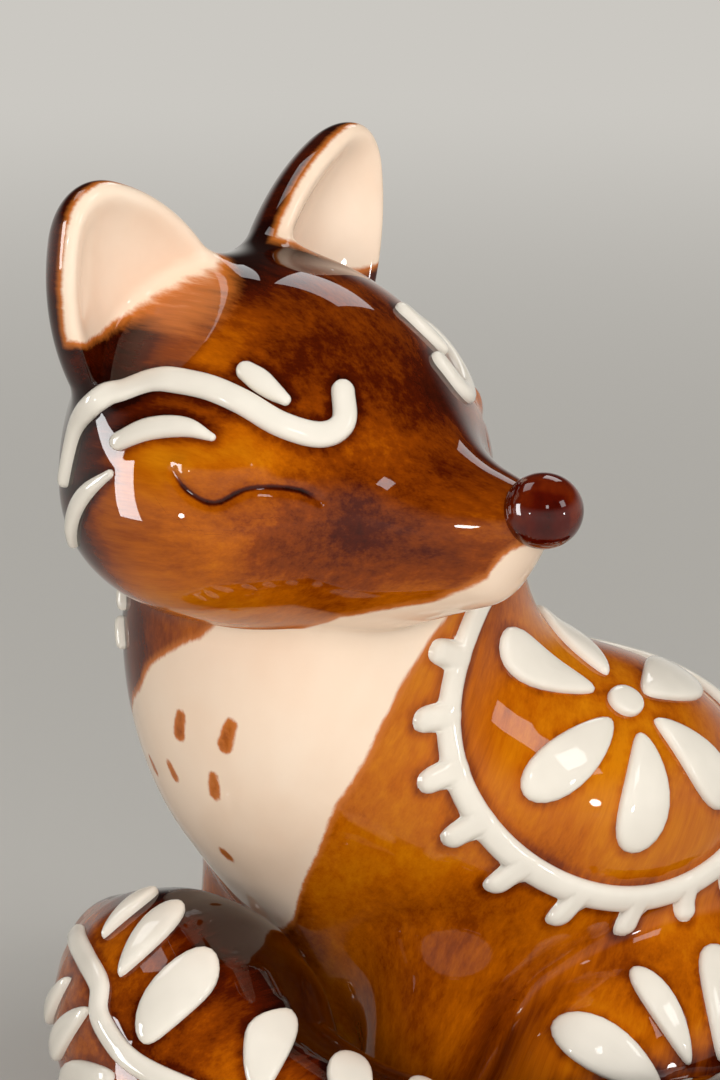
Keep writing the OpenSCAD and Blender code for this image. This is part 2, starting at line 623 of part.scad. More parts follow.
// Size of each pair of leaflets against the longest, from the tip
leaf_share = [0.5, 0.75, 1, 1, 0.9, 0.8];
leaf_last = len(leaf_share) - 1;
// Length back along the tail's route from its end to each pair
leaf_from = 5.2;
function leaf_run(k) =
    k == 0 ? leaf_from : leaf_run(k - 1) + leaflet_step * (leaf_share[k - 1] + leaf_share[k]) / 2;
tail_marks = [for (i = [0 : 10 * tail_last]) curve(tail_path, tail_last - i / 10)];
tail_runs = running(tail_marks);
function tail_back(l) = lookup(l, [for (i = [0 : len(tail_runs) - 1]) [tail_runs[i], tail_last - i / 10]]);
module tail_stem() {
    long = leaf_run(leaf_last) + leaflet_step * leaf_share[leaf_last] / 2;
    pts = [for (i = [0 : 10]) tail_skin(tail_back(mix(long, 0, i / 10)), stem_angle)];
    color(slip) stroke(function (p) tail_near(p, 6, 20), pts, [for (i = [0 : 10]) stem_w * (i == 0 ? 0.5 : 1)], 3);
}
module tail_leaflets() {
    color(slip) for (i = [0 : leaf_last], s = [-1, 1]) {
        run = leaf_run(i);
        size = leaf_share[i];
        l = leaflet_l * size;
        pebble(function (u, v)
                   let (x = cos(leaf_splay) * u - s * sin(leaf_splay) * v,
                        y = s * sin(leaf_splay) * u + cos(leaf_splay) * v + s * leaflet_gap,
                        t = tail_back(run - x))
                   tail_skin(t, stem_angle + y / curve(tail_sizes, t) * 180 / PI),
               function (p) tail_near(p, tail_back(run)), drop_outline(l, leaflet_w * size, 12), [0.6 * l, 0]);
    }
}
module flank_ring_right() {
    right() flank_ring_left();
}
module flank_flower_right() {
    right() flank_flower_left();
}
module haunch_fan_right() {
    right() haunch_fan_left();
}

body_shell();
head_shell();
ear_left();
ear_right();
nose();
foreleg_left();
foreleg_right();
haunch_left();
haunch_right();
tail();
flank_ring_left();
flank_ring_right();
flank_flower_left();
flank_flower_right();
haunch_fan_left();
haunch_fan_right();
brow_scroll_left();
brow_scroll_right();
brow_drop_left();
brow_drop_right();
lid_stroke_left();
lid_stroke_right();
cheek_stroke_left();
cheek_stroke_right();
nape_drops();
tail_stem();
tail_leaflets();
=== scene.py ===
# %% [markdown]
# # A seated fox in glazed earthenware
#
# The real object is a hollow figurine: a body and a head cast from liquid clay in plaster moulds,
# with pressed ears, legs, tail and nose luted on, and white slip trailed over it in flowers and leaves.
# Everything is then glazed and fired into one rigid piece. The imported model gives every piece its place,
# so it is loaded first.

# %% Load the imported model
import math

import bpy
import numpy as np
from mathutils import Matrix, Quaternion, Vector, kdtree


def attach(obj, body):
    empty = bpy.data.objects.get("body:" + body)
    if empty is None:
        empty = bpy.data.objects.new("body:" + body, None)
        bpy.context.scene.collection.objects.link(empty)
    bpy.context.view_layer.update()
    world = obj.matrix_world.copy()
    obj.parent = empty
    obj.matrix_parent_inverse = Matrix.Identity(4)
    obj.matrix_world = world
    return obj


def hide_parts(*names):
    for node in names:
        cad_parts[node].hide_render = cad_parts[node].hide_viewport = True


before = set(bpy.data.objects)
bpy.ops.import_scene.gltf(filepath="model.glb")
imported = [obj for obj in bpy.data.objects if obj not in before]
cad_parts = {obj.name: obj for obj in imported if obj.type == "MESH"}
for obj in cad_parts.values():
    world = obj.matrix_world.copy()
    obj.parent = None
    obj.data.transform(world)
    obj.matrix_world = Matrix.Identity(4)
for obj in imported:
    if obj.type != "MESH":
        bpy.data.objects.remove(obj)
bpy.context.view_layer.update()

# %% [markdown]
# ## Clay forms as distances
#
# Soft clay forms run into each other with no edges. They could be sculpted by hand or built from
# subdivision cages, but a distance field says the same thing in a few lines: each form is an egg or
# a tapering limb, and a smooth minimum joins two of them as a wet thumb would. All sizes are in
# millimetres and are the ones that the solids were drawn with.

# %% Eggs, limbs and soft joins
def smin(a, b, k):
    h = np.maximum(k - np.abs(a - b), 0) / k
    return np.minimum(a, b) - h * h * k / 4


def smax(a, b, k):
    return -smin(-a, -b, k)


def length(v):
    return np.sqrt((v * v).sum(-1))


def vec(*v):
    return np.array(v, float)


def roll(v, degrees):
    c, s = math.cos(math.radians(degrees)), math.sin(math.radians(degrees))
    return np.stack([v[..., 0], c * v[..., 1] - s * v[..., 2], s * v[..., 1] + c * v[..., 2]], -1)


def turn(v, degrees):
    c, s = math.cos(math.radians(degrees)), math.sin(math.radians(degrees))
    return np.stack([c * v[..., 0] - s * v[..., 1], s * v[..., 0] + c * v[..., 1], v[..., 2]], -1)


def egg(v, radii):
    r = np.array(radii, v.dtype)
    k = length(v / r)
    return k * (k - 1) / np.maximum(length(v / (r * r)), 1e-6)


def limb(p, a, b, ra, rb):
    a, b = np.array(a, p.dtype), np.array(b, p.dtype)
    ab = b - a
    long = float(np.sqrt(ab @ ab))
    t = ((p - a) @ ab) / long**2
    slant = (ra - rb) / long
    d = length(p - a - t[..., None] * ab)
    u = np.clip(t - d * slant / math.sqrt(max(1 - slant * slant, 1e-3)) / long, 0, 1)
    return length(p - a - u[..., None] * ab) - (ra + (rb - ra) * u)


# %% [markdown]
# ## Body, legs and head
#
# The body leans forward into an upright chest, with a pillow of clay on each flank for the flower
# medallion. The head sits across it, turned a little past the left shoulder. Its muzzle is a long
# taper, and each ear is a leaf of clay with a smaller leaf pressed out of its front.

# %% Body and legs
def side(v, s):
    return (s * v[0], v[1], v[2])


def trunk(p):
    at = lambda *v: p - np.array(v, p.dtype)
    d = smin(egg(at(0, -14, 58), (20.5, 21, 30)), egg(roll(at(0, 19, 23), 12), (26, 37, 24.5)), 12)
    for s in (1, -1):
        d = smin(d, egg(roll(at(s * 12.5, 8, 37.5), 16), (17.5, 28.5, 17)), 8)
    for s in (1, -1):
        d = smin(d, egg(roll(at(s * 13, 1, 32), -12), (12, 13, 17)), 6)
    return smin(d, egg(at(0, 12, 3), (20, 24, 9)), 6)


def foreleg(p, s):
    leg = limb(p, side((13, -9, 24), s), side((12, -13, 7), s), 8, 6)
    return smin(leg, egg(p - np.array(side((12, -18, 4), s), p.dtype), (6.5, 8.5, 5.2)), 3)


def haunch(p, s):
    thigh = egg(turn(p - np.array(side((24, 14, 12), s), p.dtype), -6 * s), (13, 25, 17))
    return smin(thigh, limb(p, side((25, 4, 9), s), side((23.5, -15, 5), s), 9, 5.6), 5)


def body(p):
    d = trunk(p)
    for s in (1, -1):
        d = smin(d, foreleg(p, s), 4)
    for s in (1, -1):
        d = smin(d, haunch(p, s), 3)
    return d


# %% Head and ears
HEAD_AT, HEAD_ROLL, HEAD_TURN = vec(2, -24, 80), 3, 7


def to_head(p):
    return roll(turn(p - HEAD_AT.astype(p.dtype), -HEAD_TURN), -HEAD_ROLL)


def from_head(q):
    return turn(roll(q, HEAD_ROLL), HEAD_TURN) + HEAD_AT


def skull(q):
    at = lambda *v: q - np.array(v, q.dtype)
    d = egg(q, (19.5, 20, 17.5))
    for s in (1, -1):
        d = smin(d, egg(at(2.2, s * 9.88, -5.8), (14.7, 13, 9.7)), 8)
    d = smin(d, limb(q, (8, 0, -5.1), (30.5, 0, -5.3), 11, 4.3), 9)
    return smin(d, limb(q, (15, 0, -9.4), (27.3, 0, -9.9), 8.3, 4.1), 5)


EAR_ROOT, EAR_LONG, EAR_LEAN, EAR_TURN = vec(-4, 12.4, 12), 17.7, math.radians(29), math.radians(7)
EAR_UP = vec(0, math.sin(EAR_LEAN), math.cos(EAR_LEAN))
EAR_MOUTH = vec(
    math.cos(EAR_TURN),
    math.sin(EAR_TURN) * math.cos(EAR_LEAN),
    -math.sin(EAR_TURN) * math.sin(EAR_LEAN),
)
EAR_ACROSS = np.cross(EAR_UP, EAR_MOUTH)


def leaf(v, half_wide, half_long, flat, k):
    ball = (half_wide**2 + half_long**2) / (2 * half_wide)
    x2, z2 = (v[..., 0] / flat) ** 2, v[..., 2] ** 2
    a = np.sqrt(x2 + (v[..., 1] - ball + half_wide) ** 2 + z2) - ball
    b = np.sqrt(x2 + (v[..., 1] + ball - half_wide) ** 2 + z2) - ball
    return flat * smax(a, b, k)


def in_ear(q, s):
    """Place of q in the ear's own frame: out of its mouth, across and up."""
    return (q * np.array([1, s, 1], q.dtype) - EAR_ROOT.astype(q.dtype)) @ np.stack(
        [EAR_MOUTH, EAR_ACROSS, EAR_UP], 1
    ).astype(q.dtype)


def ear_leaves(q, s):
    v = in_ear(q, s)
    cup = leaf(v - np.array([4.8, 0, 0.6], q.dtype), 9.9, EAR_LONG + 0.6, 0.4, 4)
    return leaf(v, 10, EAR_LONG + 1.4, 0.4, 5), cup


def ear(q, s):
    outer, cup = ear_leaves(q, s)
    return smax(outer, -cup, 1)


def head(q):
    return smin(smin(skull(q), ear(q, 1), 3), ear(q, -1), 3)


# %% [markdown]
# ## Tail
#
# The tail leaves the rump, lies round the left thigh and rises before the chest. It is a chain of
# short limbs along one smooth curve, thickest just before its tip.

# %% Tail
TAIL = [(3, 42, 13), (19, 54, 9.5), (38.1, 43, 8.2), (43.6, 18, 8), (41.6, -8, 8.2)]
TAIL += [(28.6, -30, 9), (13.6, -38, 14), (3.5, -36, 20.5), (-7, -34.8, 25.4)]
TAIL_SIZES = [6.5, 7, 7.8, 8.2, 9, 10.5, 12.5, 13.5, 6.5]


def curve(values, t):
    """Smooth curve through the values, at places t from 0 to the last index."""
    v = np.array(values, float).reshape(len(values), -1)
    v = np.vstack([2 * v[0] - v[1], v, 2 * v[-1] - v[-2]])
    i = np.clip(np.floor(t).astype(int), 0, len(values) - 2)
    s = (t - i)[:, None]
    a, b, c, d = v[i], v[i + 1], v[i + 2], v[i + 3]
    out = (2 * b + (c - a) * s + (2 * a - 5 * b + 4 * c - d) * s**2 + (3 * b - a - 3 * c + d) * s**3) / 2
    return out if out.shape[1] > 1 else out[:, 0]


TAIL_T = np.linspace(0, len(TAIL) - 1, 4 * (len(TAIL) - 1) + 1)
TAIL_PTS, TAIL_RAD = curve(TAIL, TAIL_T), curve(TAIL_SIZES, TAIL_T)


def tail(p):
    d = np.full(p.shape[:-1], 99, p.dtype)
    for a, b, ra, rb in zip(TAIL_PTS[:-1], TAIL_PTS[1:], TAIL_RAD[:-1], TAIL_RAD[1:]):
        d = np.minimum(d, limb(p, a, b, ra, rb))
    return d


# %% [markdown]
# ## Marks in the clay
#
# A closed eye is a line drawn in the soft clay under a swelling lid. The medallion's field is a shallow
# dome with a groove beside its ring, and the paws have toe lines. Each mark is a small height added to
# the field, as a function of the distance to a drawn line.

# %% Marks
EYE = [(6.7, 21.2, 0.9), (8.8, 21.2, -0.9), (11.1, 20.2, -1.8), (13.2, 18.2, -0.6), (14.9, 16.4, -0.5)]
EYE += [(16.9, 14.4, -1), (18.2, 13, -2.1)]
EYELID = [(8.6, 21, 1.9), (11, 19.6, 1.7), (13.4, 17.6, 1.9)]
LID_HIGH, LID_WIDE, EYE_DEEP, EYE_WIDE = 0.7, 1.9, 0.2, 0.5
RING_A, RING_B, BAND = 21.6, 19.7, 2.2
DOME_HIGH, DOME_EDGE, GROOVE_DEEP, GROOVE_AT, GROOVE_WIDE = 0.5, 0.88, 0.15, 0.91, 0.03
MEDAL_THICK = 14
TOE_GAP, TOE_DEEP, TOE_WIDE = 2.2, 0.45, 0.6
SEAM_LAP, SEAM_SHARP, SEAM_SOFT = 0.6, 0.1, 2


def to_line(p, line):
    """Distance from p to a line through points."""
    best = np.full(p.shape[:-1], 1e3, p.dtype)
    for a, b in zip(line[:-1], line[1:]):
        a, b = np.array(a, p.dtype), np.array(b, p.dtype)
        t = np.clip(((p - a) @ (b - a)) / ((b - a) @ (b - a)), 0, 1)
        best = np.minimum(best, length(p - a - t[..., None] * (b - a)))
    return best


def bump(d, wide):
    return np.exp(-((d / wide) ** 2))


def unit(v):
    return v / np.maximum(length(v), 1e-9)[..., None]


def slope(f, p, e=0.05):
    """Direction in which f grows fastest."""
    steps = np.eye(3) * e
    return np.stack([f(p + s) - f(p - s) for s in steps], -1) / (2 * e)


def drawn(f, p, times=3):
    """Points drawn on to the skin of f."""
    for _ in range(times):
        g = slope(f, p)
        p = p - g * (f(p) / np.maximum((g * g).sum(-1), 1e-6))[..., None]
    return p


MEDAL_OUT, MEDAL_TILT = unit(vec(0.77, 0.37, 0.43)), math.radians(-3.8)
MEDAL_LEVEL = unit(vec(0, 1, 0) - MEDAL_OUT * MEDAL_OUT[1])
MEDAL_STEEP = np.cross(MEDAL_OUT, MEDAL_LEVEL)
MEDAL_ALONG = math.cos(MEDAL_TILT) * MEDAL_LEVEL + math.sin(MEDAL_TILT) * MEDAL_STEEP
MEDAL_UP = np.cross(MEDAL_OUT, MEDAL_ALONG)
MEDAL_AT = drawn(body, vec(23.3, 4.7, 49.9)[None])[0]


def on_medal(p, s):
    """Place of p on the medallion of side s, measured straight from its middle."""
    d = p * np.array([s, 1, 1], p.dtype) - MEDAL_AT.astype(p.dtype)
    w = np.stack([d @ MEDAL_ALONG.astype(p.dtype), d @ MEDAL_UP.astype(p.dtype)], -1)
    front = d @ MEDAL_OUT.astype(p.dtype) > -MEDAL_THICK
    return unit(w) * length(d)[..., None] * np.where(front, 1, 9)[..., None]


EYE_LINE = drawn(head, curve(EYE, np.linspace(0, len(EYE) - 1, 5 * len(EYE) - 4)))


def toe_lines(s):
    """Lines between the toes of the paw and of the hind foot of side s."""
    for x in (-TOE_GAP, TOE_GAP):
        paw = [(12 + x, -27, 0.5), (12 + x, -26, 4.5), (12 + x * 0.8, -22, 8)]
        foot = [(23.2 + x, -22, 0.5), (23.2 + x, -20.5, 4), (23.4 + x, -16, 8.6)]
        for line in (paw, foot):
            yield [side(v, s) for v in line]


def body_skin(p):
    d = body(p)
    for s in (1, -1):
        w = on_medal(p, s)
        k = np.sqrt((w[..., 0] / RING_A) ** 2 + (w[..., 1] / RING_B) ** 2)
        dome = DOME_HIGH * np.clip(1 - (k / DOME_EDGE) ** 4, 0, 1)
        d = d - dome + GROOVE_DEEP * bump(k - GROOVE_AT, GROOVE_WIDE)
        for toe in toe_lines(s):
            d = d + TOE_DEEP * bump(to_line(p, toe), TOE_WIDE)
    return smax(smax(d, -p[..., 2], 1), -head(to_head(p)) - SEAM_LAP, SEAM_SHARP)


def head_skin(q):
    m = q.copy()
    m[..., 1] = np.abs(q[..., 1])
    lid, line = bump(to_line(m, EYELID), LID_WIDE), bump(to_line(m, EYE_LINE), EYE_WIDE)
    return head(q) - LID_HIGH * lid + EYE_DEEP * line


def tail_skin(p):
    return smax(smax(tail(p), -p[..., 2], 1), -body(p) - SEAM_LAP, SEAM_SHARP)


def luted(p):
    """The skins as one form whose seams are rubbed soft, for the glaze's sheen over them."""
    return smin(smin(body_skin(p), head_skin(to_head(p)), SEAM_SOFT), tail_skin(p), SEAM_SOFT)


# %% [markdown]
# ## From distances to closed skins
#
# The field is read on a fine grid, only near the skin, and a surface net is laid where it changes sign.
# Each grid point inside also gets the number of its casting, so one pass gives several closed pieces
# that share their seams exactly. Points on the skin are then drawn on to the field, and they keep
# the field's own slope as their normal, so that glaze runs over a seam without a line.

# %% Surface nets with numbered castings
def sampled(f, low, high, step, block=8):
    """Field values on a grid, exact near the skin and plus or minus 9 away from it."""
    low = np.array(low, float)
    n = np.ceil((np.array(high) - low) / (step * block)).astype(int)
    near = np.stack(np.meshgrid(*[np.arange(k) for k in n], indexing="ij"), -1).reshape(-1, 3)
    middle = (low + step * (near * block + (block - 1) / 2)).astype(np.float32)
    at_middle = f(middle)
    values = np.where(at_middle < 0, -9, 9).reshape(n).astype(np.float32)
    for axis in range(3):
        values = np.repeat(values, block, axis)
    half_diagonal = step * block * 0.87
    close = near[np.abs(at_middle) < half_diagonal * 1.5 + 1]
    offsets = np.stack(np.meshgrid(*[np.arange(block)] * 3, indexing="ij"), -1).reshape(-1, 3)
    for part in np.array_split(close, max(1, len(close) // 400)):
        index = (part[:, None] * block + offsets[None]).reshape(-1, 3)
        values[tuple(index.T)] = f((low + step * index).astype(np.float32))
    return values


def net(values, labels, low, step):
    """Points, four-sided faces and the two labels that each face parts."""
    cells = np.array(values.shape) - 1
    strides = np.array([cells[1] * cells[2], cells[2], 1])
    total, count = np.zeros((3, cells.prod())), np.zeros(cells.prod())
    found = []
    for axis in range(3):
        a, b = [slice(None)] * 3, [slice(None)] * 3
        a[axis], b[axis] = slice(0, -1), slice(1, None)
        la, lb, va, vb = labels[tuple(a)], labels[tuple(b)], values[tuple(a)], values[tuple(b)]
        index = np.argwhere(la != lb)
        key = tuple(index.T)
        la, lb, va, vb = la[key], lb[key], va[key], vb[key]
        edge = (la == 0) | (lb == 0)
        t = np.where(edge, va / np.where(edge, va - vb, 1), 0.5)
        place = index.astype(float)
        place[:, axis] += np.clip(t, 0.02, 0.98)
        one, two = (axis + 1) % 3, (axis + 2) % 3
        corners = []
        for d1, d2 in ((-1, -1), (0, -1), (0, 0), (-1, 0)):
            cell = index.copy()
            cell[:, one] += d1
            cell[:, two] += d2
            flat = cell @ strides
            count += np.bincount(flat, minlength=len(count))
            for i in range(3):
                total[i] += np.bincount(flat, place[:, i], minlength=len(count))
            corners.append(flat)
        found.append((np.stack(corners, 1), la, lb))
    ids = np.full(len(count), -1)
    ids[count > 0] = np.arange((count > 0).sum())
    points = low + step * (total[:, count > 0] / count[count > 0]).T
    quads, la, lb = (np.concatenate(part) for part in zip(*found))
    return points, ids[quads], la, lb


# %% Meshes with their normals and paint
def mesh_piece(name, points_mm, quads, tris=(), normals=None, **paint):
    """A closed mesh in metres, smooth, with one attribute for each named paint value."""
    mesh = bpy.data.meshes.new(name)
    quads, tris = np.array(quads, int).reshape(-1, 4), np.array(tris, int).reshape(-1, 3)
    sizes = np.hstack([np.full(len(quads), 4), np.full(len(tris), 3)])
    mesh.vertices.add(len(points_mm))
    mesh.vertices.foreach_set("co", (np.array(points_mm) * 0.001).astype(np.float32).ravel())
    mesh.loops.add(int(sizes.sum()))
    mesh.loops.foreach_set("vertex_index", np.hstack([quads.ravel(), tris.ravel()]).astype(np.int32))
    mesh.polygons.add(len(sizes))
    mesh.polygons.foreach_set("loop_start", (np.cumsum(sizes) - sizes).astype(np.int32))
    mesh.polygons.foreach_set("use_smooth", np.ones(len(sizes), bool))
    mesh.update(calc_edges=True)
    for key, value in paint.items():
        value = np.array(value, np.float32)
        kind, field = ("FLOAT_VECTOR", "vector") if value.ndim == 2 else ("FLOAT", "value")
        mesh.attributes.new(key, kind, "POINT").data.foreach_set(field, value.ravel())
    if normals is not None:
        mesh.normals_split_custom_set_from_vertices(normals.tolist())
    piece = bpy.data.objects.new(name, mesh)
    bpy.context.scene.collection.objects.link(piece)
    print(f"{name}: {len(points_mm)} points, {len(sizes)} faces")
    return piece


def casting(f, shares, low, high, step, sheen=None):
    """Skin points, normals and each casting's faces, for the forms in shares; sheen gives the normals."""
    values = sampled(f, low, high, step)
    labels = np.zeros(values.shape, np.int8)
    inside = np.argwhere(values < 0)
    for part in np.array_split(inside, max(1, len(inside) // 200000)):
        p = (np.array(low) + step * part).astype(np.float32)
        labels[tuple(part.T)] = 1 + np.argmin(np.stack([share(p) for share in shares]), 0)
    points, quads, la, lb = net(values, labels, np.array(low, float), step)
    skin = np.zeros(len(points), bool)
    skin[quads[(la == 0) | (lb == 0)].ravel()] = True
    points[skin] = drawn(f, points[skin], 2)
    normals = unit(slope(sheen or f, points))
    pieces = []
    for k in range(len(shares)):
        faces = np.vstack([quads[la == k + 1], quads[lb == k + 1][:, ::-1]])
        used, faces = np.unique(faces, return_inverse=True)
        pieces.append((used, faces.reshape(-1, 4)))
    return points, normals, pieces


# %% Cast the body, the head and the tail
BODY_GRID, HEAD_GRID, TAIL_GRID, NOSE_GRID = 0.6, 0.35, 0.7, 0.25
legs = [lambda p, leg=leg, s=s: leg(p, s) for leg in (foreleg, haunch) for s in (1, -1)]
ears = [lambda q, s=s: ear(q, s) for s in (1, -1)]
body_points, body_normals, body_pieces = casting(
    body_skin, [trunk, *legs], (-42, -42, -2), (42, 60, 82), BODY_GRID, luted)
head_points, head_normals, head_pieces = casting(
    head_skin, [skull, *ears], (-24, -30, -22), (38, 30, 36), HEAD_GRID, lambda q: luted(from_head(q)))
tail_points, tail_normals, tail_pieces = casting(
    tail_skin, [tail], (-24, -56, -2), (56, 66, 42), TAIL_GRID, luted)
print("castings, points:", len(body_points), len(head_points), len(tail_points))

# %% [markdown]
# ## Slip relief, made flat and then laid on
#
# A potter trails white slip on to the damp clay, or presses a sprig in a mould and lays it on. The same
# order works here: each ornament is made flat, where its rule is simple, and its points are then laid on
# the skin. What repeats is made by Geometry Nodes: petals round a middle, leaflets along a stem, and
# teeth along a band. A tree is built by one small function that adds a node, sets it and links it.

# %% One function that adds a node
def add(tree, kind, inputs=(), **settings):
    """A new node. inputs maps a socket's name or number to a value or to another socket."""
    node = tree.nodes.new(kind)
    for key, value in settings.items():
        setattr(node, key, value)
    for key, value in dict(inputs).items():
        socket = node.inputs[key]
        if isinstance(value, bpy.types.NodeSocket):
            tree.links.new(value, socket)
        else:
            socket.default_value = value
    return node


def maths(operation):
    """A function that puts one maths node into the tree that its inputs belong to."""
    def put(*values):
        tree = next(v.id_data for v in values if isinstance(v, bpy.types.NodeSocket))
        return add(tree, "ShaderNodeMath", dict(enumerate(values)), operation=operation).outputs[0]
    return put


plus, minus, times, over = (maths(word) for word in ("ADD", "SUBTRACT", "MULTIPLY", "DIVIDE"))
times_plus, power, root, unsigned = (maths(word) for word in ("MULTIPLY_ADD", "POWER", "SQRT", "ABSOLUTE"))
most, least, soft_least, sign = (maths(word) for word in ("MAXIMUM", "MINIMUM", "SMOOTH_MIN", "SIGN"))
sine, cosine, radians = (maths(word) for word in ("SINE", "COSINE", "RADIANS"))
modulo, floor, rounded = (maths(word) for word in ("MODULO", "FLOOR", "ROUND"))


def geometry_tree(name, sizes):
    """A tree with a geometry in and out and named number inputs."""
    tree = bpy.data.node_groups.new(name, "GeometryNodeTree")
    tree.interface.new_socket("Geometry", in_out="INPUT", socket_type="NodeSocketGeometry")
    tree.interface.new_socket("Geometry", in_out="OUTPUT", socket_type="NodeSocketGeometry")
    for key, value in sizes.items():
        kind = "NodeSocketInt" if isinstance(value, int) else "NodeSocketFloat"
        tree.interface.new_socket(key, in_out="INPUT", socket_type=kind)
    return tree, tree.nodes.new("NodeGroupInput").outputs


def grown(tree, last, material, sizes, mould=None):
    """Runs the tree on a mould and gives the result's points, in millimetres, and faces."""
    done = add(tree, "GeometryNodeSetMaterial", {"Geometry": last, "Material": material}).outputs[0]
    tree.links.new(done, tree.nodes.new("NodeGroupOutput").inputs[0])
    maker = bpy.data.objects.new(tree.name, mould or bpy.data.meshes.new(tree.name))
    bpy.context.scene.collection.objects.link(maker)
    modifier = maker.modifiers.new(tree.name, "NODES")
    modifier.node_group = tree
    named = {s.name: s.identifier for s in tree.interface.items_tree if s.in_out == "INPUT"}
    for key, value in sizes.items():
        modifier[named[key]] = value
    result = bpy.data.meshes.new_from_object(maker.evaluated_get(bpy.context.evaluated_depsgraph_get()))
    points = np.empty(len(result.vertices) * 3, np.float32)
    result.vertices.foreach_get("co", points)
    faces = [tuple(p.vertices) for p in result.polygons]
    maker.modifiers.clear()
    bpy.data.objects.remove(maker)
    print(f"{tree.name}: {len(faces)} faces")
    return points.reshape(-1, 3).astype(float), *by_sides(faces)


def by_sides(faces):
    return [f for f in faces if len(f) == 4], [f for f in faces if len(f) == 3]


def row_faces(m, n):
    """Faces of a closed skin over m rows of n points, with a point at each end."""
    j = np.arange(n)
    k = (j + 1) % n
    last = 1 + (m - 1) * n
    quads = [np.stack([i + j, i + n + j, i + n + k, i + k], 1) for i in range(1, last, n)]
    ends = [np.stack([0 * j, 1 + j, 1 + k], 1), np.stack([0 * j + 1 + m * n, last + k, last + j], 1)]
    return np.vstack(quads), np.vstack(ends)


# %% Finishes that the relief is made of
def linear(hex_colour):
    """sRGB hex to linear RGBA."""
    parts = [int(hex_colour[i : i + 2], 16) / 255 for i in (1, 3, 5)]
    return (*[c / 12.92 if c <= 0.04045 else ((c + 0.055) / 1.055) ** 2.4 for c in parts], 1)


white_slip = bpy.data.materials.new("white_slip_under_clear_glaze")
amber_glaze = bpy.data.materials.new("brushed_amber_glaze")
dark_glaze = bpy.data.materials.new("dark_brown_glaze")

# %% [markdown]
# ### The petal mould
#
# One petal is a drop, narrow at its root and round at its end, one unit long and one unit in half
# width, domed on top and with a root that sinks into the clay.

# %% Petal mould
RELIEF, ROOT = 0.9, 0.5
DOME = [(1, 0.1), (0.985, 0.4), (0.94, 0.66), (0.86, 0.82), (0.72, 0.93), (0.5, 1), (0.25, 1.03)]
PETAL_ROWS = [(1, -ROOT)] + [(share, high * RELIEF) for share, high in DOME]
PETAL_X = 0.6


def petal_mould(sides=28):
    a = 2 * np.pi * np.arange(sides) / sides
    x = (1 - np.cos(a)) / 2
    outline = np.stack([x, -np.sin(a) * (0.48 + 0.64 * x)], 1)
    middle = vec(PETAL_X, 0)
    rows = []
    for share, high in PETAL_ROWS:
        rows.append(np.column_stack([middle + (outline - middle) * share, np.full(sides, high)]))
    points = np.vstack([[[PETAL_X, 0, -ROOT]], *rows, [[PETAL_X, 0, 1.04 * RELIEF]]])
    quads, tris = row_faces(len(rows), sides)
    mesh = bpy.data.meshes.new("petal_mould")
    mesh.from_pydata(points.tolist(), [], quads.tolist() + tris.tolist())
    return mesh


mould = petal_mould()

# %% Petals round a middle
def rosette(name, sizes):
    """Instances of the mould round a middle; each petal reaches as far as the oval round it allows."""
    tree, given = geometry_tree(name, sizes)
    index = add(tree, "GeometryNodeInputIndex").outputs[0]
    even = radians(times_plus(index, given["Angle step"], given["First angle"]))
    lean = times(radians(given["Lean"]), cosine(even))
    angle = minus(even, lean)
    c, s = cosine(angle), sine(angle)
    across = power(over(c, given["Oval half length"]), 2.0)
    upward = power(over(s, given["Oval half height"]), 2.0)
    oval = over(1.0, root(plus(across, upward)))
    small = modulo(index, 2.0)
    long = times(minus(oval, given["Start"]),
                times_plus(small, minus(given["Small length"], 1.0), 1.0))
    wide = times(given["Half width"],
                times_plus(small, minus(given["Small width"], 1.0), 1.0))
    place = add(tree, "ShaderNodeCombineXYZ", {
        0: times(c, given["Start"]), 1: times(s, given["Start"])})
    points = add(tree, "GeometryNodePoints", {"Count": given["Petals"], "Position": place.outputs[0]})
    petals = add(tree, "GeometryNodeInstanceOnPoints", {
        "Points": points.outputs[0], "Instance": given["Geometry"],
        "Rotation": add(tree, "ShaderNodeCombineXYZ", {2: angle}).outputs[0],
        "Scale": add(tree, "ShaderNodeCombineXYZ", {0: long, 1: wide, 2: 1.0}).outputs[0]})
    made = add(tree, "GeometryNodeRealizeInstances", {0: petals.outputs[0]}).outputs[0]
    return grown(tree, made, white_slip, sizes, mould.copy())


PETAL_GAP = BAND / 2 + 3.4
flower = rosette("flower_petals", {
    "Petals": 6, "First angle": -99.5, "Angle step": 60.0, "Lean": 9.0, "Start": 3.6, "Half width": 3.4,
    "Oval half length": RING_A - PETAL_GAP, "Oval half height": RING_B - PETAL_GAP,
    "Small length": 1.0, "Small width": 1.0})
fan = rosette("fan_petals", {
    "Petals": 5, "First angle": -1.0, "Angle step": 34.0, "Lean": 0.0, "Start": 7.0, "Half width": 3.4,
    "Oval half length": 19.0, "Oval half height": 19.0, "Small length": 0.9, "Small width": 0.6})

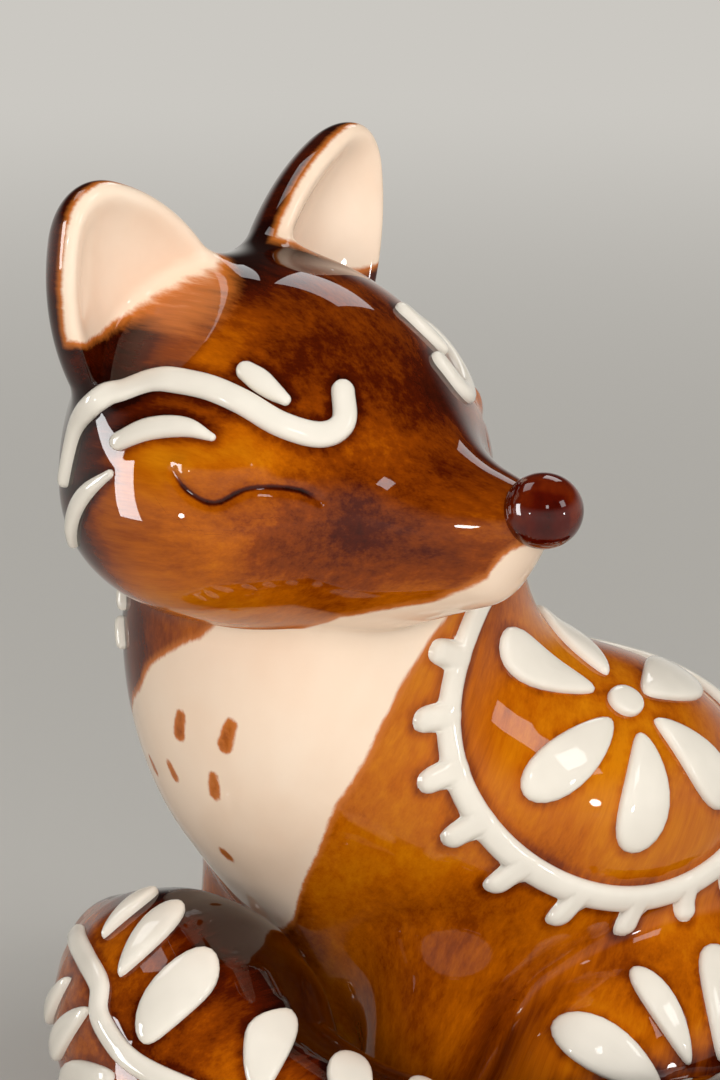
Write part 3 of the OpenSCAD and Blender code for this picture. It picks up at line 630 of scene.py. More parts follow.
# %% Leaflets along a stem
def sprig(sizes):
    """Pairs of leaflets back along a straight stem: small at the tip, full, then smaller to the root."""
    tree, given = geometry_tree("sprig_leaflets", sizes)
    index = add(tree, "GeometryNodeInputIndex").outputs[0]
    pair = floor(over(index, 2.0))
    odd = modulo(index, 2.0)
    flip = times_plus(odd, 2.0, -1.0)
    growing = least(1.0, times_plus(pair, given["Growth"], given["First size"]))
    late = most(0.0, minus(pair, given["Full pairs"]))
    size = minus(growing, times(late, given["Shrink"]))
    to_here = add(tree, "GeometryNodeAccumulateField", {"Value": size, "Group ID": odd}).outputs["Leading"]
    halves = times(plus(size, given["First size"]), 0.5)
    run = times_plus(minus(to_here, halves), given["Step"], given["First place"])
    place = add(tree, "ShaderNodeCombineXYZ", {
        0: times(run, -1.0), 1: times(flip, given["Stem gap"])})
    turned = radians(times(flip, given["Splay"]))
    points = add(tree, "GeometryNodePoints", {"Count": given["Leaflets"]})
    set_out = add(tree, "GeometryNodeSetPosition", {
        "Geometry": points.outputs[0], "Position": place.outputs[0]})
    leaves = add(tree, "GeometryNodeInstanceOnPoints", {
        "Points": set_out.outputs[0], "Instance": given["Geometry"],
        "Rotation": add(tree, "ShaderNodeCombineXYZ", {2: turned}).outputs[0],
        "Scale": add(tree, "ShaderNodeCombineXYZ", {
            0: times(size, given["Length"]),
            1: times(size, given["Half width"]), 2: 1.0}).outputs[0]})
    made = add(tree, "GeometryNodeRealizeInstances", {0: leaves.outputs[0]}).outputs[0]
    return grown(tree, made, white_slip, sizes, mould.copy())


leaflets = sprig({
    "Leaflets": 12, "First size": 0.5, "Growth": 0.25, "Full pairs": 3.0, "Shrink": 0.1, "First place": 5.2,
    "Step": 9.4, "Stem gap": 2.2, "Splay": 65.0, "Length": 12.2, "Half width": 2.9})

# %% [markdown]
# ### Laying flat slip on the skin
#
# A place on a flat ornament is a distance and a direction from its middle. The point of the skin at that
# straight distance, in that direction, is found by halving an angle, and the height is added along
# the skin's slope. On the tail the place is a distance along it and an angle round it.

# %% Laying on
def wrapped(middle, out, along, up, u, v):
    r = np.maximum(np.hypot(u, v), 1e-3)[:, None]
    d = (u[:, None] * along + v[:, None] * up) / r
    high, low = np.full(len(u), math.radians(75)), np.full(len(u), math.radians(-85))
    for _ in range(16):
        b = (high + low) / 2
        outside = body(middle + r * (np.cos(b)[:, None] * d + np.sin(b)[:, None] * out)) > 0
        high, low = np.where(outside, b, high), np.where(outside, low, b)
    return middle + r * (np.cos(b)[:, None] * d + np.sin(b)[:, None] * out)


def laid(f, skin_points, height):
    return skin_points + height[:, None] * unit(slope(f, skin_points))


def medal_skin(u, v):
    return drawn(body_skin, wrapped(MEDAL_AT, MEDAL_OUT, MEDAL_ALONG, MEDAL_UP, u, v), 2)


FAN_AT = drawn(body, vec(36.5, 4, 9)[None])[0]


def fan_skin(u, v):
    return wrapped(FAN_AT, vec(1, 0, 0), vec(0, 1, 0), vec(0, 0, 1), u, v)


TAIL_LAST = len(TAIL) - 1
FINE_T = np.linspace(0, TAIL_LAST, 801)
TAIL_ARC = np.hstack([0, np.cumsum(length(np.diff(curve(TAIL, FINE_T), axis=0)))])
STEM_ANGLE = 31


def tail_place(s, y):
    """Skin point of the tail at distance s along it and y above the stem's line."""
    t = np.interp(s, TAIL_ARC, FINE_T)
    middle = curve(TAIL, t)
    ahead = np.minimum(t + 0.05, TAIL_LAST)
    along = unit(curve(TAIL, ahead) - curve(TAIL, ahead - 0.1))
    out = unit(np.cross(vec(0, 0, 1), along))
    a = np.radians(STEM_ANGLE) + y / curve(TAIL_SIZES, t)
    ray = np.cos(a)[:, None] * out + np.sin(a)[:, None] * np.cross(along, out)
    low, high = np.zeros(len(s)), np.full(len(s), 27.0)
    for _ in range(14):
        m = (low + high) / 2
        inside = tail(middle + m[:, None] * ray) < 0
        low, high = np.where(inside, m, low), np.where(inside, high, m)
    return middle + low[:, None] * ray


# %% [markdown]
# ### The toothed ring
#
# The band was trailed as one line round the flower and each tooth was pulled out of it with the nozzle,
# so the teeth are not quite evenly spaced. The band's real length is measured on the skin first. The tree
# then makes it on a plain circle of that length, where a tooth is set by its distance along the band, and
# its points move to the oval on the flank by the same measure.

# %% The band's length on the flank
def ring_radius(a):
    return 1 / np.hypot(np.cos(a) / RING_A, np.sin(a) / RING_B)


def on_ring(a, beyond=0.0):
    """Flat place at turn a, so far beyond the ring's line."""
    r = ring_radius(a) + beyond
    return r * np.cos(a), r * np.sin(a)


ring_turns = np.radians(np.arange(0, 361, 5))
ring_marks = medal_skin(*on_ring(ring_turns))
ring_runs = np.hstack([0, np.cumsum(length(np.diff(ring_marks, axis=0)))])
RING_LONG = float(ring_runs[-1])
print("band, mm:", round(RING_LONG, 1))

# %% A toothed band
def toothed_band(sizes):
    """A closed tube round a circle: flat below, domed above, and pushed outwards where a tooth stands."""
    tree, given = geometry_tree("toothed_band", sizes)
    grid = add(tree, "GeometryNodeMeshGrid", {
        "Size X": 1.0, "Size Y": 1.0, "Vertices Y": 25,
        "Vertices X": times_plus(given["Teeth"], given["Steps in a tooth"], 1.0)})
    place = add(tree, "ShaderNodeSeparateXYZ", {0: add(tree, "GeometryNodeInputPosition").outputs[0]}).outputs
    share = plus(place[0], 0.5)
    along = times(share, given["Length"])
    pitch = over(given["Length"], given["Teeth"])
    tooth = rounded(over(minus(along, given["First place"]), pitch))
    third = over(times(tooth, 3 * math.tau), given["Teeth"])
    centre = plus(times_plus(tooth, pitch, given["First place"]), times(sine(third), given["Drift"]))
    away = unsigned(minus(along, centre))
    half, tooth_half = (times(given[k], 0.5) for k in ("Band width", "Tooth width"))
    inner = least(over(away, times(tooth_half, 1.12)), 1.0)
    body_of = power(minus(1.0, power(inner, 3.0)), 0.7)
    fillet = power(most(minus(1.0, over(away, given["Fillet reach"])), 0.0), 2.0)
    flare = times(times(fillet, given["Fillet"]), minus(1.0, body_of))
    edge = plus(half, times_plus(body_of, given["Tooth length"], flare))
    section = times(plus(place[1], 0.5), -math.tau)
    out, high = cosine(section), sine(section)
    broad = times(sign(out), power(unsigned(out), 0.8))
    y = minus(times(plus(edge, half), times_plus(broad, 0.5, 0.5)), half)
    from_band = minus(unsigned(y), half)
    past = most(most(minus(y, given["Tooth length"]), times(y, -1.0)), 0.0)
    reach = root(plus(times(away, away), times(past, past)))
    from_tooth = minus(reach, tooth_half)
    deep = times(soft_least(from_band, from_tooth, 0.5), -1.0)
    low = minus(1.0, least(over(most(deep, 0.0), given["Shoulder"]), 1.0))
    dome = root(minus(1.0, times(low, low)))
    above = least(times(most(high, 0.0), 5.0), 1.0)
    below = power(most(times(high, -1.0), 0.0), 0.3)
    z = minus(times(times(dome, above), given["Height"]), times(below, given["Root"]))
    radius = plus(over(given["Length"], math.tau), y)
    around = times(share, math.tau)
    shaped = add(tree, "GeometryNodeSetPosition", {
        "Geometry": grid.outputs[0], "Position": add(tree, "ShaderNodeCombineXYZ", {
            0: times(radius, cosine(around)), 1: times(radius, sine(around)), 2: z}).outputs[0]})
    closed = add(tree, "GeometryNodeMergeByDistance", {"Geometry": shaped.outputs[0], "Distance": 0.001})
    made = add(tree, "GeometryNodeRealizeInstances", {0: closed.outputs[0]}).outputs[0]
    return grown(tree, made, white_slip, sizes)


# Wet slip slumps a little wider than the band of the solids.
SLUMP = 0.3
ring_points, ring_quads, ring_tris = toothed_band({
    "Teeth": 21, "Steps in a tooth": 40, "Length": RING_LONG, "First place": 4.4, "Drift": 1.1,
    "Band width": BAND + SLUMP, "Tooth width": 2.4, "Tooth length": 2.6, "Fillet reach": 2.1,
    "Fillet": 1.3, "Shoulder": 0.95, "Height": RELIEF, "Root": ROOT})
band_run = np.arctan2(ring_points[:, 1], ring_points[:, 0]) % math.tau * RING_LONG / math.tau
band_turn = np.interp(band_run, ring_runs, ring_turns)
band_beyond = np.hypot(ring_points[:, 0], ring_points[:, 1]) - RING_LONG / math.tau
ring_flat = np.column_stack([*on_ring(band_turn, band_beyond), ring_points[:, 2]])
ring = ring_flat, ring_quads, ring_tris

# %% [markdown]
# ### Trailed strokes
#
# The scrolls over the eyes and the stem on the tail come out of the trailer's nozzle as one rounded
# line. Each is a rounded section swept along points drawn on to the skin, with ends that close in a
# half circle.

# %% Strokes
STROKE_STEP, END_STEPS = 0.35, vec(0.03, 0.12, 0.28, 0.5, 0.75)


def stroke(f, points, widths, per_span=10, sides=14):
    """A rounded line through the points, whose round ends stand out half a width past the first and last."""
    t = np.linspace(0, len(points) - 1, per_span * (len(points) - 1) + 1)
    fine, w = drawn(f, curve(points, t)), curve(widths, t)
    before, after = (0.48 * w[i] * unit(fine[i] - fine[k]) for i, k in ((0, 1), (-1, -2)))
    fine = drawn(f, np.vstack([fine[0] + before, fine, fine[-1] + after]))
    w = np.hstack([w[0], w, w[-1]])
    arc = np.hstack([0, np.cumsum(length(np.diff(fine, axis=0)))])
    first, last = w[0] / 2, w[-1] / 2
    between = np.linspace(first, arc[-1] - last, int(arc[-1] / STROKE_STEP) + 3)
    s = np.hstack([END_STEPS * first, between, arc[-1] - END_STEPS[::-1] * last])
    middle = drawn(f, np.stack([np.interp(s, arc, fine[:, i]) for i in range(3)], 1))
    wide = np.interp(s, arc, w)
    near_first, near_last = np.clip(1 - s / first, 0, 1), np.clip(1 - (arc[-1] - s) / last, 0, 1)
    shut = np.sqrt(1 - np.maximum(near_first, near_last) ** 2)
    tangent = unit(np.gradient(middle, axis=0))
    up = unit(slope(f, middle))
    across = unit(np.cross(up, tangent))
    a = 2 * np.pi * np.arange(sides) / sides
    out = np.sign(np.cos(a)) * np.abs(np.cos(a)) ** 0.8
    rows = []
    for i in range(len(s)):
        high = RELIEF * min(1, wide[i] / 1.6) * shut[i] ** 0.6
        z = np.where(np.sin(a) > 0, np.abs(np.sin(a)) ** 0.8 * high, -np.abs(np.sin(a)) ** 0.5 * ROOT)
        rows.append(middle[i] + across[i] * (out * wide[i] / 2 * shut[i])[:, None] + up[i] * z[:, None])
    quads, tris = row_faces(len(rows), sides)
    return np.vstack([middle[:1], *rows, middle[-1:]]), quads, tris


def flipped(points):
    return points * vec(-1, 1, 1)


BROW = [(-8, 20, -2), (-6.5, 20, 3.2), (-2.4, 19.8, 7.2), (1.5, 17.8, 8.7), (6.4, 16.4, 8.5)]
BROW += [(10.4, 15.2, 7.2), (14, 13.6, 5), (17, 11.2, 3.9), (18, 8.9, 4.8), (16.8, 7.4, 7.5)]
BROW_W = [2.6 * k for k in (0.65, 0.8, 0.95, 1, 1, 1, 1, 1, 0.95, 0.9)]
LID = [(-0.2, 20.8, 2.9), (2.9, 20, 4.4), (6.5, 18.9, 4.8), (9.3, 18.2, 4)]
CHEEK = [(-0.4, 21.7, -0.2), (-4.2, 21.4, -3.3), (-7.5, 20, -8)]
DROP_LEFT = [(12.3, 7.4, 12.1), (13.5, 8.6, 10.3), (14.4, 10.2, 8)]
DROP_RIGHT = [(9.7, -13.4, 9.7), (11.1, -13.1, 8.9), (12.4, -12.8, 8), (13.6, -12.3, 7.1)]
FACE = [("brow_scroll", BROW, BROW_W), ("lid_stroke", LID, [1.9, 2.3, 2, 0.8])]
FACE += [("cheek_stroke", CHEEK, [0.9, 1.9, 1.4])]
relief = {}


def face_stroke(name, points, widths):
    p, quads, tris = stroke(head_skin, points, widths)
    relief[name] = (from_head(p), quads, tris)


for word, s in (("left", 1), ("right", -1)):
    for name, line, widths in FACE:
        face_stroke(f"{name}_{word}", [(x, s * y, z) for x, y, z in line], widths)
face_stroke("brow_drop_left", DROP_LEFT, [2, 2.4, 1.8])
face_stroke("brow_drop_right", DROP_RIGHT, [2, 2.4, 2, 1.2])
STEM_LONG, STEM_W = 49.3, 2.3
tail_s = np.linspace(TAIL_ARC[-1] - STEM_LONG, TAIL_ARC[-1], 11)
stem_line = tail_place(tail_s, 0 * tail_s)
relief["tail_stem"] = stroke(tail, stem_line, [STEM_W / 2] + [STEM_W] * 10)
print("strokes:", len(relief))

# %% Lay the ornaments on
def both_sides(name, flat, place):
    points, quads, tris = flat
    made = laid(body_skin, place(points[:, 0], points[:, 1]), points[:, 2])
    back = lambda faces: np.array(faces, int)[:, ::-1] if len(faces) else faces
    relief[f"{name}_left"] = (made, quads, tris)
    relief[f"{name}_right"] = (flipped(made), back(quads), back(tris))


def joined(*parts):
    """Several closed forms as one list of points and faces."""
    shift, points, quads, tris = 0, [], [], []
    for p, q, t in parts:
        points.append(p)
        quads += [tuple(np.array(f) + shift) for f in q]
        tris += [tuple(np.array(f) + shift) for f in t]
        shift += len(p)
    return np.vstack(points), quads, tris


MIDDLE_A, MIDDLE_B = 2.2, 1.8


def flower_middle():
    """The petal mould's rows drawn out to an oval button."""
    points = np.array([v.co for v in mould.vertices])
    faces = [tuple(p.vertices) for p in mould.polygons]
    sides = (len(points) - 2) // len(PETAL_ROWS)
    level = np.hstack([0, np.repeat([share for share, _ in PETAL_ROWS], sides), 0])
    around = np.linspace(0, math.tau, sides + 1)[:-1]
    angle = np.hstack([0, np.tile(math.pi - around, len(PETAL_ROWS)), 0])
    flat = np.column_stack([MIDDLE_A * level * np.cos(angle), MIDDLE_B * level * np.sin(angle), points[:, 2]])
    return flat, *by_sides(faces)


both_sides("flank_ring", ring, medal_skin)
both_sides("flank_flower", joined(flower, flower_middle()), medal_skin)
both_sides("haunch_fan", fan, fan_skin)
points, quads, tris = leaflets
leaf_skin = tail_place(TAIL_ARC[-1] + points[:, 0], points[:, 1])
relief["tail_leaflets"] = (laid(tail, leaf_skin, points[:, 2]), quads, tris)
NAPE = [(-10.6, -31.6, -0.9), (-11.2, -31.4, 0), (-11.6, -31.2, 0.9)]
nape = [[(x, y, z + high) for x, y, z in NAPE] for high in (58.2, 62.2)]
relief["nape_drops"] = joined(*[stroke(body_skin, line, [1.5, 1.9, 1.5]) for line in nape])

# %% [markdown]
# ## Paint and glaze regions
#
# The glaze is brushed on by region: cream on the bib, under the jaw and in the ears, amber everywhere
# else. A region is stored on each point as its distance from the region's edge, in millimetres, which a
# material can turn into a crisp edge at any mesh size. Three more values say how hollow the place is,
# how ridged, and how far it is from slip, because thick glaze is dark and thin glaze is light.

# %% Regions
BIB = [(30.5, 74), (30.2, 64.2), (27.2, 60.6), (25.3, 58), (23.9, 55.9), (22, 51.9), (20.1, 47.7)]
BIB += [(17.6, 43.4), (15.8, 38.7), (14.3, 36.1), (11.1, 31.3), (8.5, 28.9), (2, 27.5), (-8, 30.5)]
BIB += [(-14, 36), (-16, 43), (-13, 48), (-8.9, 51.7), (-6, 53.7), (-3.4, 56.6), (-0.1, 58.8)]
BIB += [(2.6, 60.3), (4.4, 61.3), (8, 66), (9, 74), (30.5, 74)]
BIB_LINE = curve(BIB, np.linspace(0, len(BIB) - 1, 4 * len(BIB) - 3)).tolist()
CHEST_Y, CHEST_ROUND = -14, 20
DASHES = [
    ((0.7, -34.4, 51.2), 0.3, 1.1, 0.9),
    ((6.6, -33.3, 51), 0.5, 1.2, 0.95),
    ((-2.2, -33, 45.7), -0.2, 0.8, 0.7),
    ((3.7, -32.6, 45.1), 0.2, 1.2, 0.85),
    ((-6.6, -31.7, 45.2), -0.2, 0.8, 0.6),
    ((1.2, -28.8, 36.7), -0.4, 1.3, 0.75),
]


def in_outline(p, outline):
    """Distance from p to the edge of an outline, positive inside."""
    best, inside = np.full(len(p), 1e3), np.zeros(len(p), bool)
    for a, b in zip(outline[:-1], outline[1:]):
        a, b = vec(*a), vec(*b)
        t = np.clip(((p - a) @ (b - a)) / max((b - a) @ (b - a), 1e-9), 0, 1)
        best = np.minimum(best, length(p - a - t[:, None] * (b - a)))
        crosses = (a[1] > p[:, 1]) != (b[1] > p[:, 1])
        at = a[0] + (p[:, 1] - a[1]) / (b[1] - a[1] if b[1] != a[1] else 1) * (b[0] - a[0])
        inside ^= crosses & (p[:, 0] < at)
    return np.where(inside, best, -best)


def bib(p):
    """Cream on the chest: the bib's outline, drawn on the chest rolled flat, less its brown dashes."""
    around = np.arctan2(p[:, 0], CHEST_Y - p[:, 1]) * CHEST_ROUND
    cream = in_outline(np.stack([around, p[:, 2]], 1), BIB_LINE)
    cream = np.where(p[:, 1] < 0, cream, -9)
    for at, lean, half, wide in DASHES:
        a, b = vec(*at) + vec(lean, 0, half), vec(*at) - vec(lean, 0, half)
        cream = np.minimum(cream, 1.5 * limb(p, a, b, wide * 0.8, wide) + 0.25)
    return cream


JAW_X = [-10, 3.9, 10.5, 16.1, 19.9, 25.1, 30.9, 33.8, 36]
JAW_ANGLE = [-50, -49.5, -52, -44.3, -47, -52, -40, 4, 40]


def face_cream(q):
    """Cream under the jaw, by the angle below each place along it, and in the ears down to their foot."""
    under = np.degrees(np.arctan2(q[:, 2] + 7, np.abs(q[:, 1])))
    cream = np.radians(np.interp(q[:, 0], JAW_X, JAW_ANGLE) - under) * np.hypot(q[:, 1], q[:, 2] + 7)
    for s in (1, -1):
        v = in_ear(q, s)
        foot = np.interp(v[:, 1], [-8, 0, 4.2, 7.4, 9], [1.9, 1.7, 2.7, 4.5, 6])
        cream = np.maximum(cream, np.minimum(2 * (0.95 - ear_leaves(q, s)[1]), 0.85 * (v[:, 2] - foot)))
    return cream


def rise(v, low, high):
    """From 0 at low to 1 at high, with no kink."""
    t = np.clip((v - low) / (high - low), 0, 1)
    return t * t * (3 - 2 * t)


def head_dark(q):
    """How heavily the brown was brushed on the head, from 0 to 1."""
    m = np.column_stack([q[:, 0], np.abs(q[:, 1]), q[:, 2]])
    rear = rise(-m[:, 0], -1, 9)
    crown = rise(m[:, 2], 2, 9) * rise(-m[:, 0], -26, -16)
    brow = bump(to_line(m, [(-5, 21.5, -3), (-2.5, 20.8, 3), (2, 19.8, 6), (8.5, 18, 6.3)]), 2.3)
    muzzle = rise(m[:, 0], 10, 21) * rise(m[:, 2], -15, -6)
    bridge = bump(to_line(m, [(21, 2.5, 4), (29.5, 1.5, 0)]), 4.5)
    behind = rise(-m[:, 2], 4, 12) * rise(-m[:, 0], -2, 6)
    ear_foot = bump(to_line(m, [(6, 10, 13.5), (3, 17, 10)]), 4)
    dark = 0.7 * rear + 0.72 * crown + 0.7 * brow + 0.55 * muzzle + 0.2 * bridge + 0.6 * behind
    return np.clip(np.minimum(dark, 0.8) - 0.5 * ear_foot, 0, 1)


# Painted shade: darker on the side of the neck away from the lamps, and towards the bottom, near the table.
def body_painted_shade(p):
    shaded_neck = rise(-p[:, 0], -6, 7) * rise(p[:, 2], 44, 56)
    low = rise(-p[:, 2], -16, -2)
    return np.clip(0.8 * shaded_neck + 0.4 * low, 0, 1)


def tail_painted_shade(p, n):
    """Painted shade: the side of the tail that is turned to the body, under the chest, is darkest."""
    return 0.25 + 1.3 * rise((unit(vec(0, -4, 34) - p) * n).sum(-1), -0.6, 0.1)


every_third = np.vstack([p[::3] for p, _, _ in relief.values()])
slip_points = kdtree.KDTree(len(every_third))
for i, v in enumerate(every_third):
    slip_points.insert(v, i)
slip_points.balance()


def eye_line(q, n):
    """Distance across the eye's line, place along it from its middle, and its half length."""
    mirror = np.where(q[:, 1] < 0, -1, 1)[:, None] ** np.array([0, 1, 0])
    m, n = q * mirror, n * mirror
    line = np.vstack([3 * EYE_LINE[0] - 2 * EYE_LINE[1], EYE_LINE, 3 * EYE_LINE[-1] - 2 * EYE_LINE[-2]])
    arc = np.hstack([0, np.cumsum(length(np.diff(line, axis=0)))])
    best, across, along = np.full(len(m), 1e3), np.full(len(m), 9.0), np.zeros(len(m))
    for a, b, start in zip(line[:-1], line[1:], arc[:-1]):
        t = np.clip(((m - a) @ (b - a)) / ((b - a) @ (b - a)), 0, 1)
        away = m - a - t[:, None] * (b - a)
        near = length(away) < best
        best = np.where(near, length(away), best)
        across = np.where(near, (away * unit(np.cross(b - a, n))).sum(-1), across)
        along = np.where(near, start + t * length(b - a) - arc[-1] / 2, along)
    across = np.where(best > 3, 9, across)
    return np.column_stack([across, along, np.full(len(m), arc[-1] / 2)])


def from_slip(p):
    """Distance to the nearest slip, up to 6 mm."""
    return np.array([min(slip_points.find(v)[2], 6) for v in p])


def depth_of(f, p, n, reach=3.0):
    """How hollow and how ridged the skin is, from 0 to 1."""
    return np.clip(1 - f(p + reach * n) / reach, 0, 1), np.clip(1 + f(p - reach * n) / reach, 0, 1)


# %% Castings become pieces
def finish(piece, material, slot, *nodes):
    """Gives a piece its material and body, in place of its solids. The slot is not used."""
    piece.data.materials.append(material)
    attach(piece, "root")
    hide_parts(*nodes)


def glazed(names, points, normals, pieces, **paint):
    """The castings as glazed pieces, each with its own part of the paint."""
    for (used, faces), name in zip(pieces, names):
        own = {key: value[used] for key, value in paint.items()}
        piece = mesh_piece("glazed_" + name, points[used], faces, normals=normals[used], **own)
        finish(piece, amber_glaze, "amber_glaze", name)


def body_and_tail(p):
    return np.minimum(body(p), tail(p))


def head_turned(v):
    return turn(roll(v, HEAD_ROLL), HEAD_TURN)


hollow, ridge = depth_of(body_and_tail, body_points, body_normals)
body_names = ("body_shell", "foreleg_left", "foreleg_right", "haunch_left", "haunch_right")
body_brush = turn(roll(body_points, 28), 20)[:, [2, 0, 1]]
glazed(body_names, body_points, body_normals, body_pieces, cream=bib(body_points), hollow=hollow, ridge=ridge,
       slip=from_slip(body_points), brush=body_brush, dark=body_painted_shade(body_points))
hollow, ridge = depth_of(head_skin, head_points, head_normals)
head_names, head_world = ("head_shell", "ear_left", "ear_right"), from_head(head_points)
glazed(head_names, head_world, head_turned(head_normals), head_pieces,
       cream=face_cream(head_points), hollow=hollow, ridge=ridge, slip=from_slip(head_world),
       brush=head_points, dark=head_dark(head_points), eye=eye_line(head_points, head_normals))
hollow, ridge = depth_of(body_and_tail, tail_points, tail_normals)
glazed(("tail",), tail_points, tail_normals, tail_pieces, cream=np.full(len(tail_points), -9), hollow=hollow,
       ridge=ridge, slip=from_slip(tail_points), brush=tail_points[:, [1, 0, 2]],
       dark=tail_painted_shade(tail_points, tail_normals))
for name, (p, quads, tris) in relief.items():
    piece = mesh_piece("slip_" + name, p, quads, tris)
    finish(piece, white_slip, "white_slip", name)

# %% Nose
NOSE_AT, NOSE_RADII, NOSE_SEAM = (35.2, 0, -3.6), (3.9, 3.9, 3.7), 0.3


def nose_field(q):
    ball = egg(q - np.array(NOSE_AT, q.dtype), NOSE_RADII)
    return smax(ball, -head(q) - NOSE_SEAM, NOSE_SEAM)


points, normals, pieces = casting(nose_field, [nose_field], (30, -5, -9), (40, 5, 2), NOSE_GRID)
nose = mesh_piece("glazed_nose", from_head(points), pieces[0][1], normals=head_turned(normals))
finish(nose, dark_glaze, "dark_glaze", "nose")

# %% [markdown]
# ## Glazes
#
# Each glaze is a clear glass over colour, so each one is a Principled surface with a full clear coat.
# Amber glaze is brushed on in thin streaks over pale clay: it reads honey where thin, brown where
# two strokes cross, and nearly black in hollows and beside the slip.

# %% Amber glaze
def shader(material):
    material.use_nodes = True
    tree = material.node_tree
    tree.nodes.clear()
    out = tree.nodes.new("ShaderNodeOutputMaterial")
    surface = tree.nodes.new("ShaderNodeBsdfPrincipled")
    tree.links.new(surface.outputs[0], out.inputs[0])
    return tree, surface


def clear_glass(surface, rough, coat_rough=0.02, coat_ior=1.5):
    """A smooth clear coat over a colour that has no shine of its own."""
    glass = {"Roughness": rough, "IOR": 1.5, "Specular IOR Level": 0.0}
    glass |= {"Coat Weight": 1.0, "Coat Roughness": coat_rough, "Coat IOR": coat_ior}
    for key, value in glass.items():
        surface.inputs[key].default_value = value


def attribute(tree, name, output="Fac"):
    return add(tree, "ShaderNodeAttribute", attribute_name=name).outputs[output]


def coordinate(tree, name="Object"):
    return add(tree, "ShaderNodeTexCoord").outputs[name]


def split(tree, vector):
    return add(tree, "ShaderNodeSeparateXYZ", {0: vector}).outputs


def noise(tree, vector, scale, detail=3.0, rough=0.55):
    mapped = add(tree, "ShaderNodeMapping", {"Vector": vector, "Scale": scale}).outputs[0]
    return add(tree, "ShaderNodeTexNoise", {
        "Vector": mapped, "Scale": 1.0, "Detail": detail, "Roughness": rough}).outputs[0]


def ramp(tree, value, stops):
    node = add(tree, "ShaderNodeValToRGB", {0: value})
    bar = node.color_ramp
    while len(bar.elements) < len(stops):
        bar.elements.new(0.5)
    for element, (at, colour) in zip(bar.elements, stops):
        element.position = at
        element.color = linear(colour)
    return node.outputs[0]


def smooth(tree, value, low, high):
    limits = {"Value": value, "From Min": low, "From Max": high}
    return add(tree, "ShaderNodeMapRange", limits, interpolation_type="SMOOTHSTEP").outputs[0]


def blend(tree, share, a, b):
    return add(tree, "ShaderNodeMix", {0: share, 6: a, 7: b}, data_type="RGBA").outputs[2]


AMBER = [(0.08, "#1e0300"), (0.28, "#4c1300"), (0.46, "#863901"), (0.64, "#b65c02"), (0.84, "#d07a08")]
AMBER_ROUGH = 0.16
CREAM, THIN_EDGE, BARE_CLAY = [(0.3, "#fadcc0"), (0.7, "#ffe8d0")], "#c8702c", "#d9b593"
SLIP = [(0.3, "#e9e1d3"), (0.7, "#f2eadc")]
NOSE_BROWN = [(0.3, "#2a0300"), (0.5, "#4d0a00"), (0.75, "#7c2a04")]

tree, surface = shader(amber_glaze)
clear_glass(surface, AMBER_ROUGH, coat_ior=1.42)
brush = attribute(tree, "brush", "Vector")
cloud = noise(tree, brush, (0.035, 0.08, 0.08), 3.0)
streak = noise(tree, brush, (0.1, 1.3, 1.3), 4.0, 0.65)
hair = noise(tree, brush, (0.3, 5.0, 5.0), 2.0)
tone = times_plus(cloud, 0.85, times_plus(streak, 0.34, times(hair, 0.12)))
tone = minus(tone, times(attribute(tree, "hollow"), 0.36))
tone = times_plus(attribute(tree, "ridge"), 0.1, tone)
# Darker where the head's brown is brushed heavily, and painted shade on the body and on the tail.
tone = minus(tone, times(attribute(tree, "dark"), 0.42))
pooled = smooth(tree, attribute(tree, "slip"), 1.3, 0.0)
tone = minus(tone, times(pooled, 0.2))
across, along, half_long = split(tree, attribute(tree, "eye", "Vector"))
to_end = minus(half_long, unsigned(along))
drawn_eye = times(smooth(tree, unsigned(across), 0.38, 0.04), smooth(tree, to_end, 0.8, 3.0))
tone = minus(tone, times(drawn_eye, 0.36))
amber, cream = ramp(tree, tone, AMBER), ramp(tree, cloud, CREAM)
edge = times_plus(minus(streak, 0.5), 0.7, attribute(tree, "cream"))
colour = blend(tree, smooth(tree, edge, -0.9, 0.1), amber, linear(THIN_EDGE))
colour = blend(tree, smooth(tree, edge, -0.1, 0.45), colour, cream)
bare = smooth(tree, split(tree, coordinate(tree))[2], 0.0004, 0.0002)
colour = blend(tree, bare, colour, linear(BARE_CLAY))
tree.links.new(colour, surface.inputs["Base Color"])
tree.links.new(times_plus(bare, 0.6, AMBER_ROUGH), surface.inputs["Roughness"])
wave = noise(tree, brush, (0.12, 0.35, 0.35), 2.0)
wavy = add(tree, "ShaderNodeBump", {"Strength": 0.25, "Distance": 0.0004, "Height": wave})
tree.links.new(wavy.outputs[0], surface.inputs["Normal"])

# %% White slip and the nose's dark glaze
tree, surface = shader(white_slip)
clear_glass(surface, 0.3, coat_rough=0.04)
soft = noise(tree, coordinate(tree), (160.0, 160.0, 160.0), 2.0)
tree.links.new(ramp(tree, soft, SLIP), surface.inputs["Base Color"])
bumpy = add(tree, "ShaderNodeBump", {"Strength": 0.15, "Distance": 0.0003, "Height": soft})
tree.links.new(bumpy.outputs[0], surface.inputs["Normal"])

tree, surface = shader(dark_glaze)
clear_glass(surface, 0.12)
soft = noise(tree, coordinate(tree), (220.0, 220.0, 160.0), 3.0)
tree.links.new(ramp(tree, soft, NOSE_BROWN), surface.inputs["Base Color"])

# %% [markdown]
# ## Table, light and camera
#
# The fox stands on a plain pale table that fades into a pale background. Large soft lamps give the long
# soft highlights that glaze shows, and the camera stands where the photographer stood.

# %% Table
TABLE, HORIZON, OVERHEAD, ROOM_LIGHT = (linear(c) for c in ("#d0cdc7", "#cbc8c2", "#34322f", "#e6e3dd"))


def seen(tree):
    """1 for rays that show the surroundings, straight or in the glaze, and 0 for rays that light."""
    path = add(tree, "ShaderNodeLightPath").outputs
    return most(most(path["Is Camera Ray"], path["Is Glossy Ray"]), path["Is Transmission Ray"])


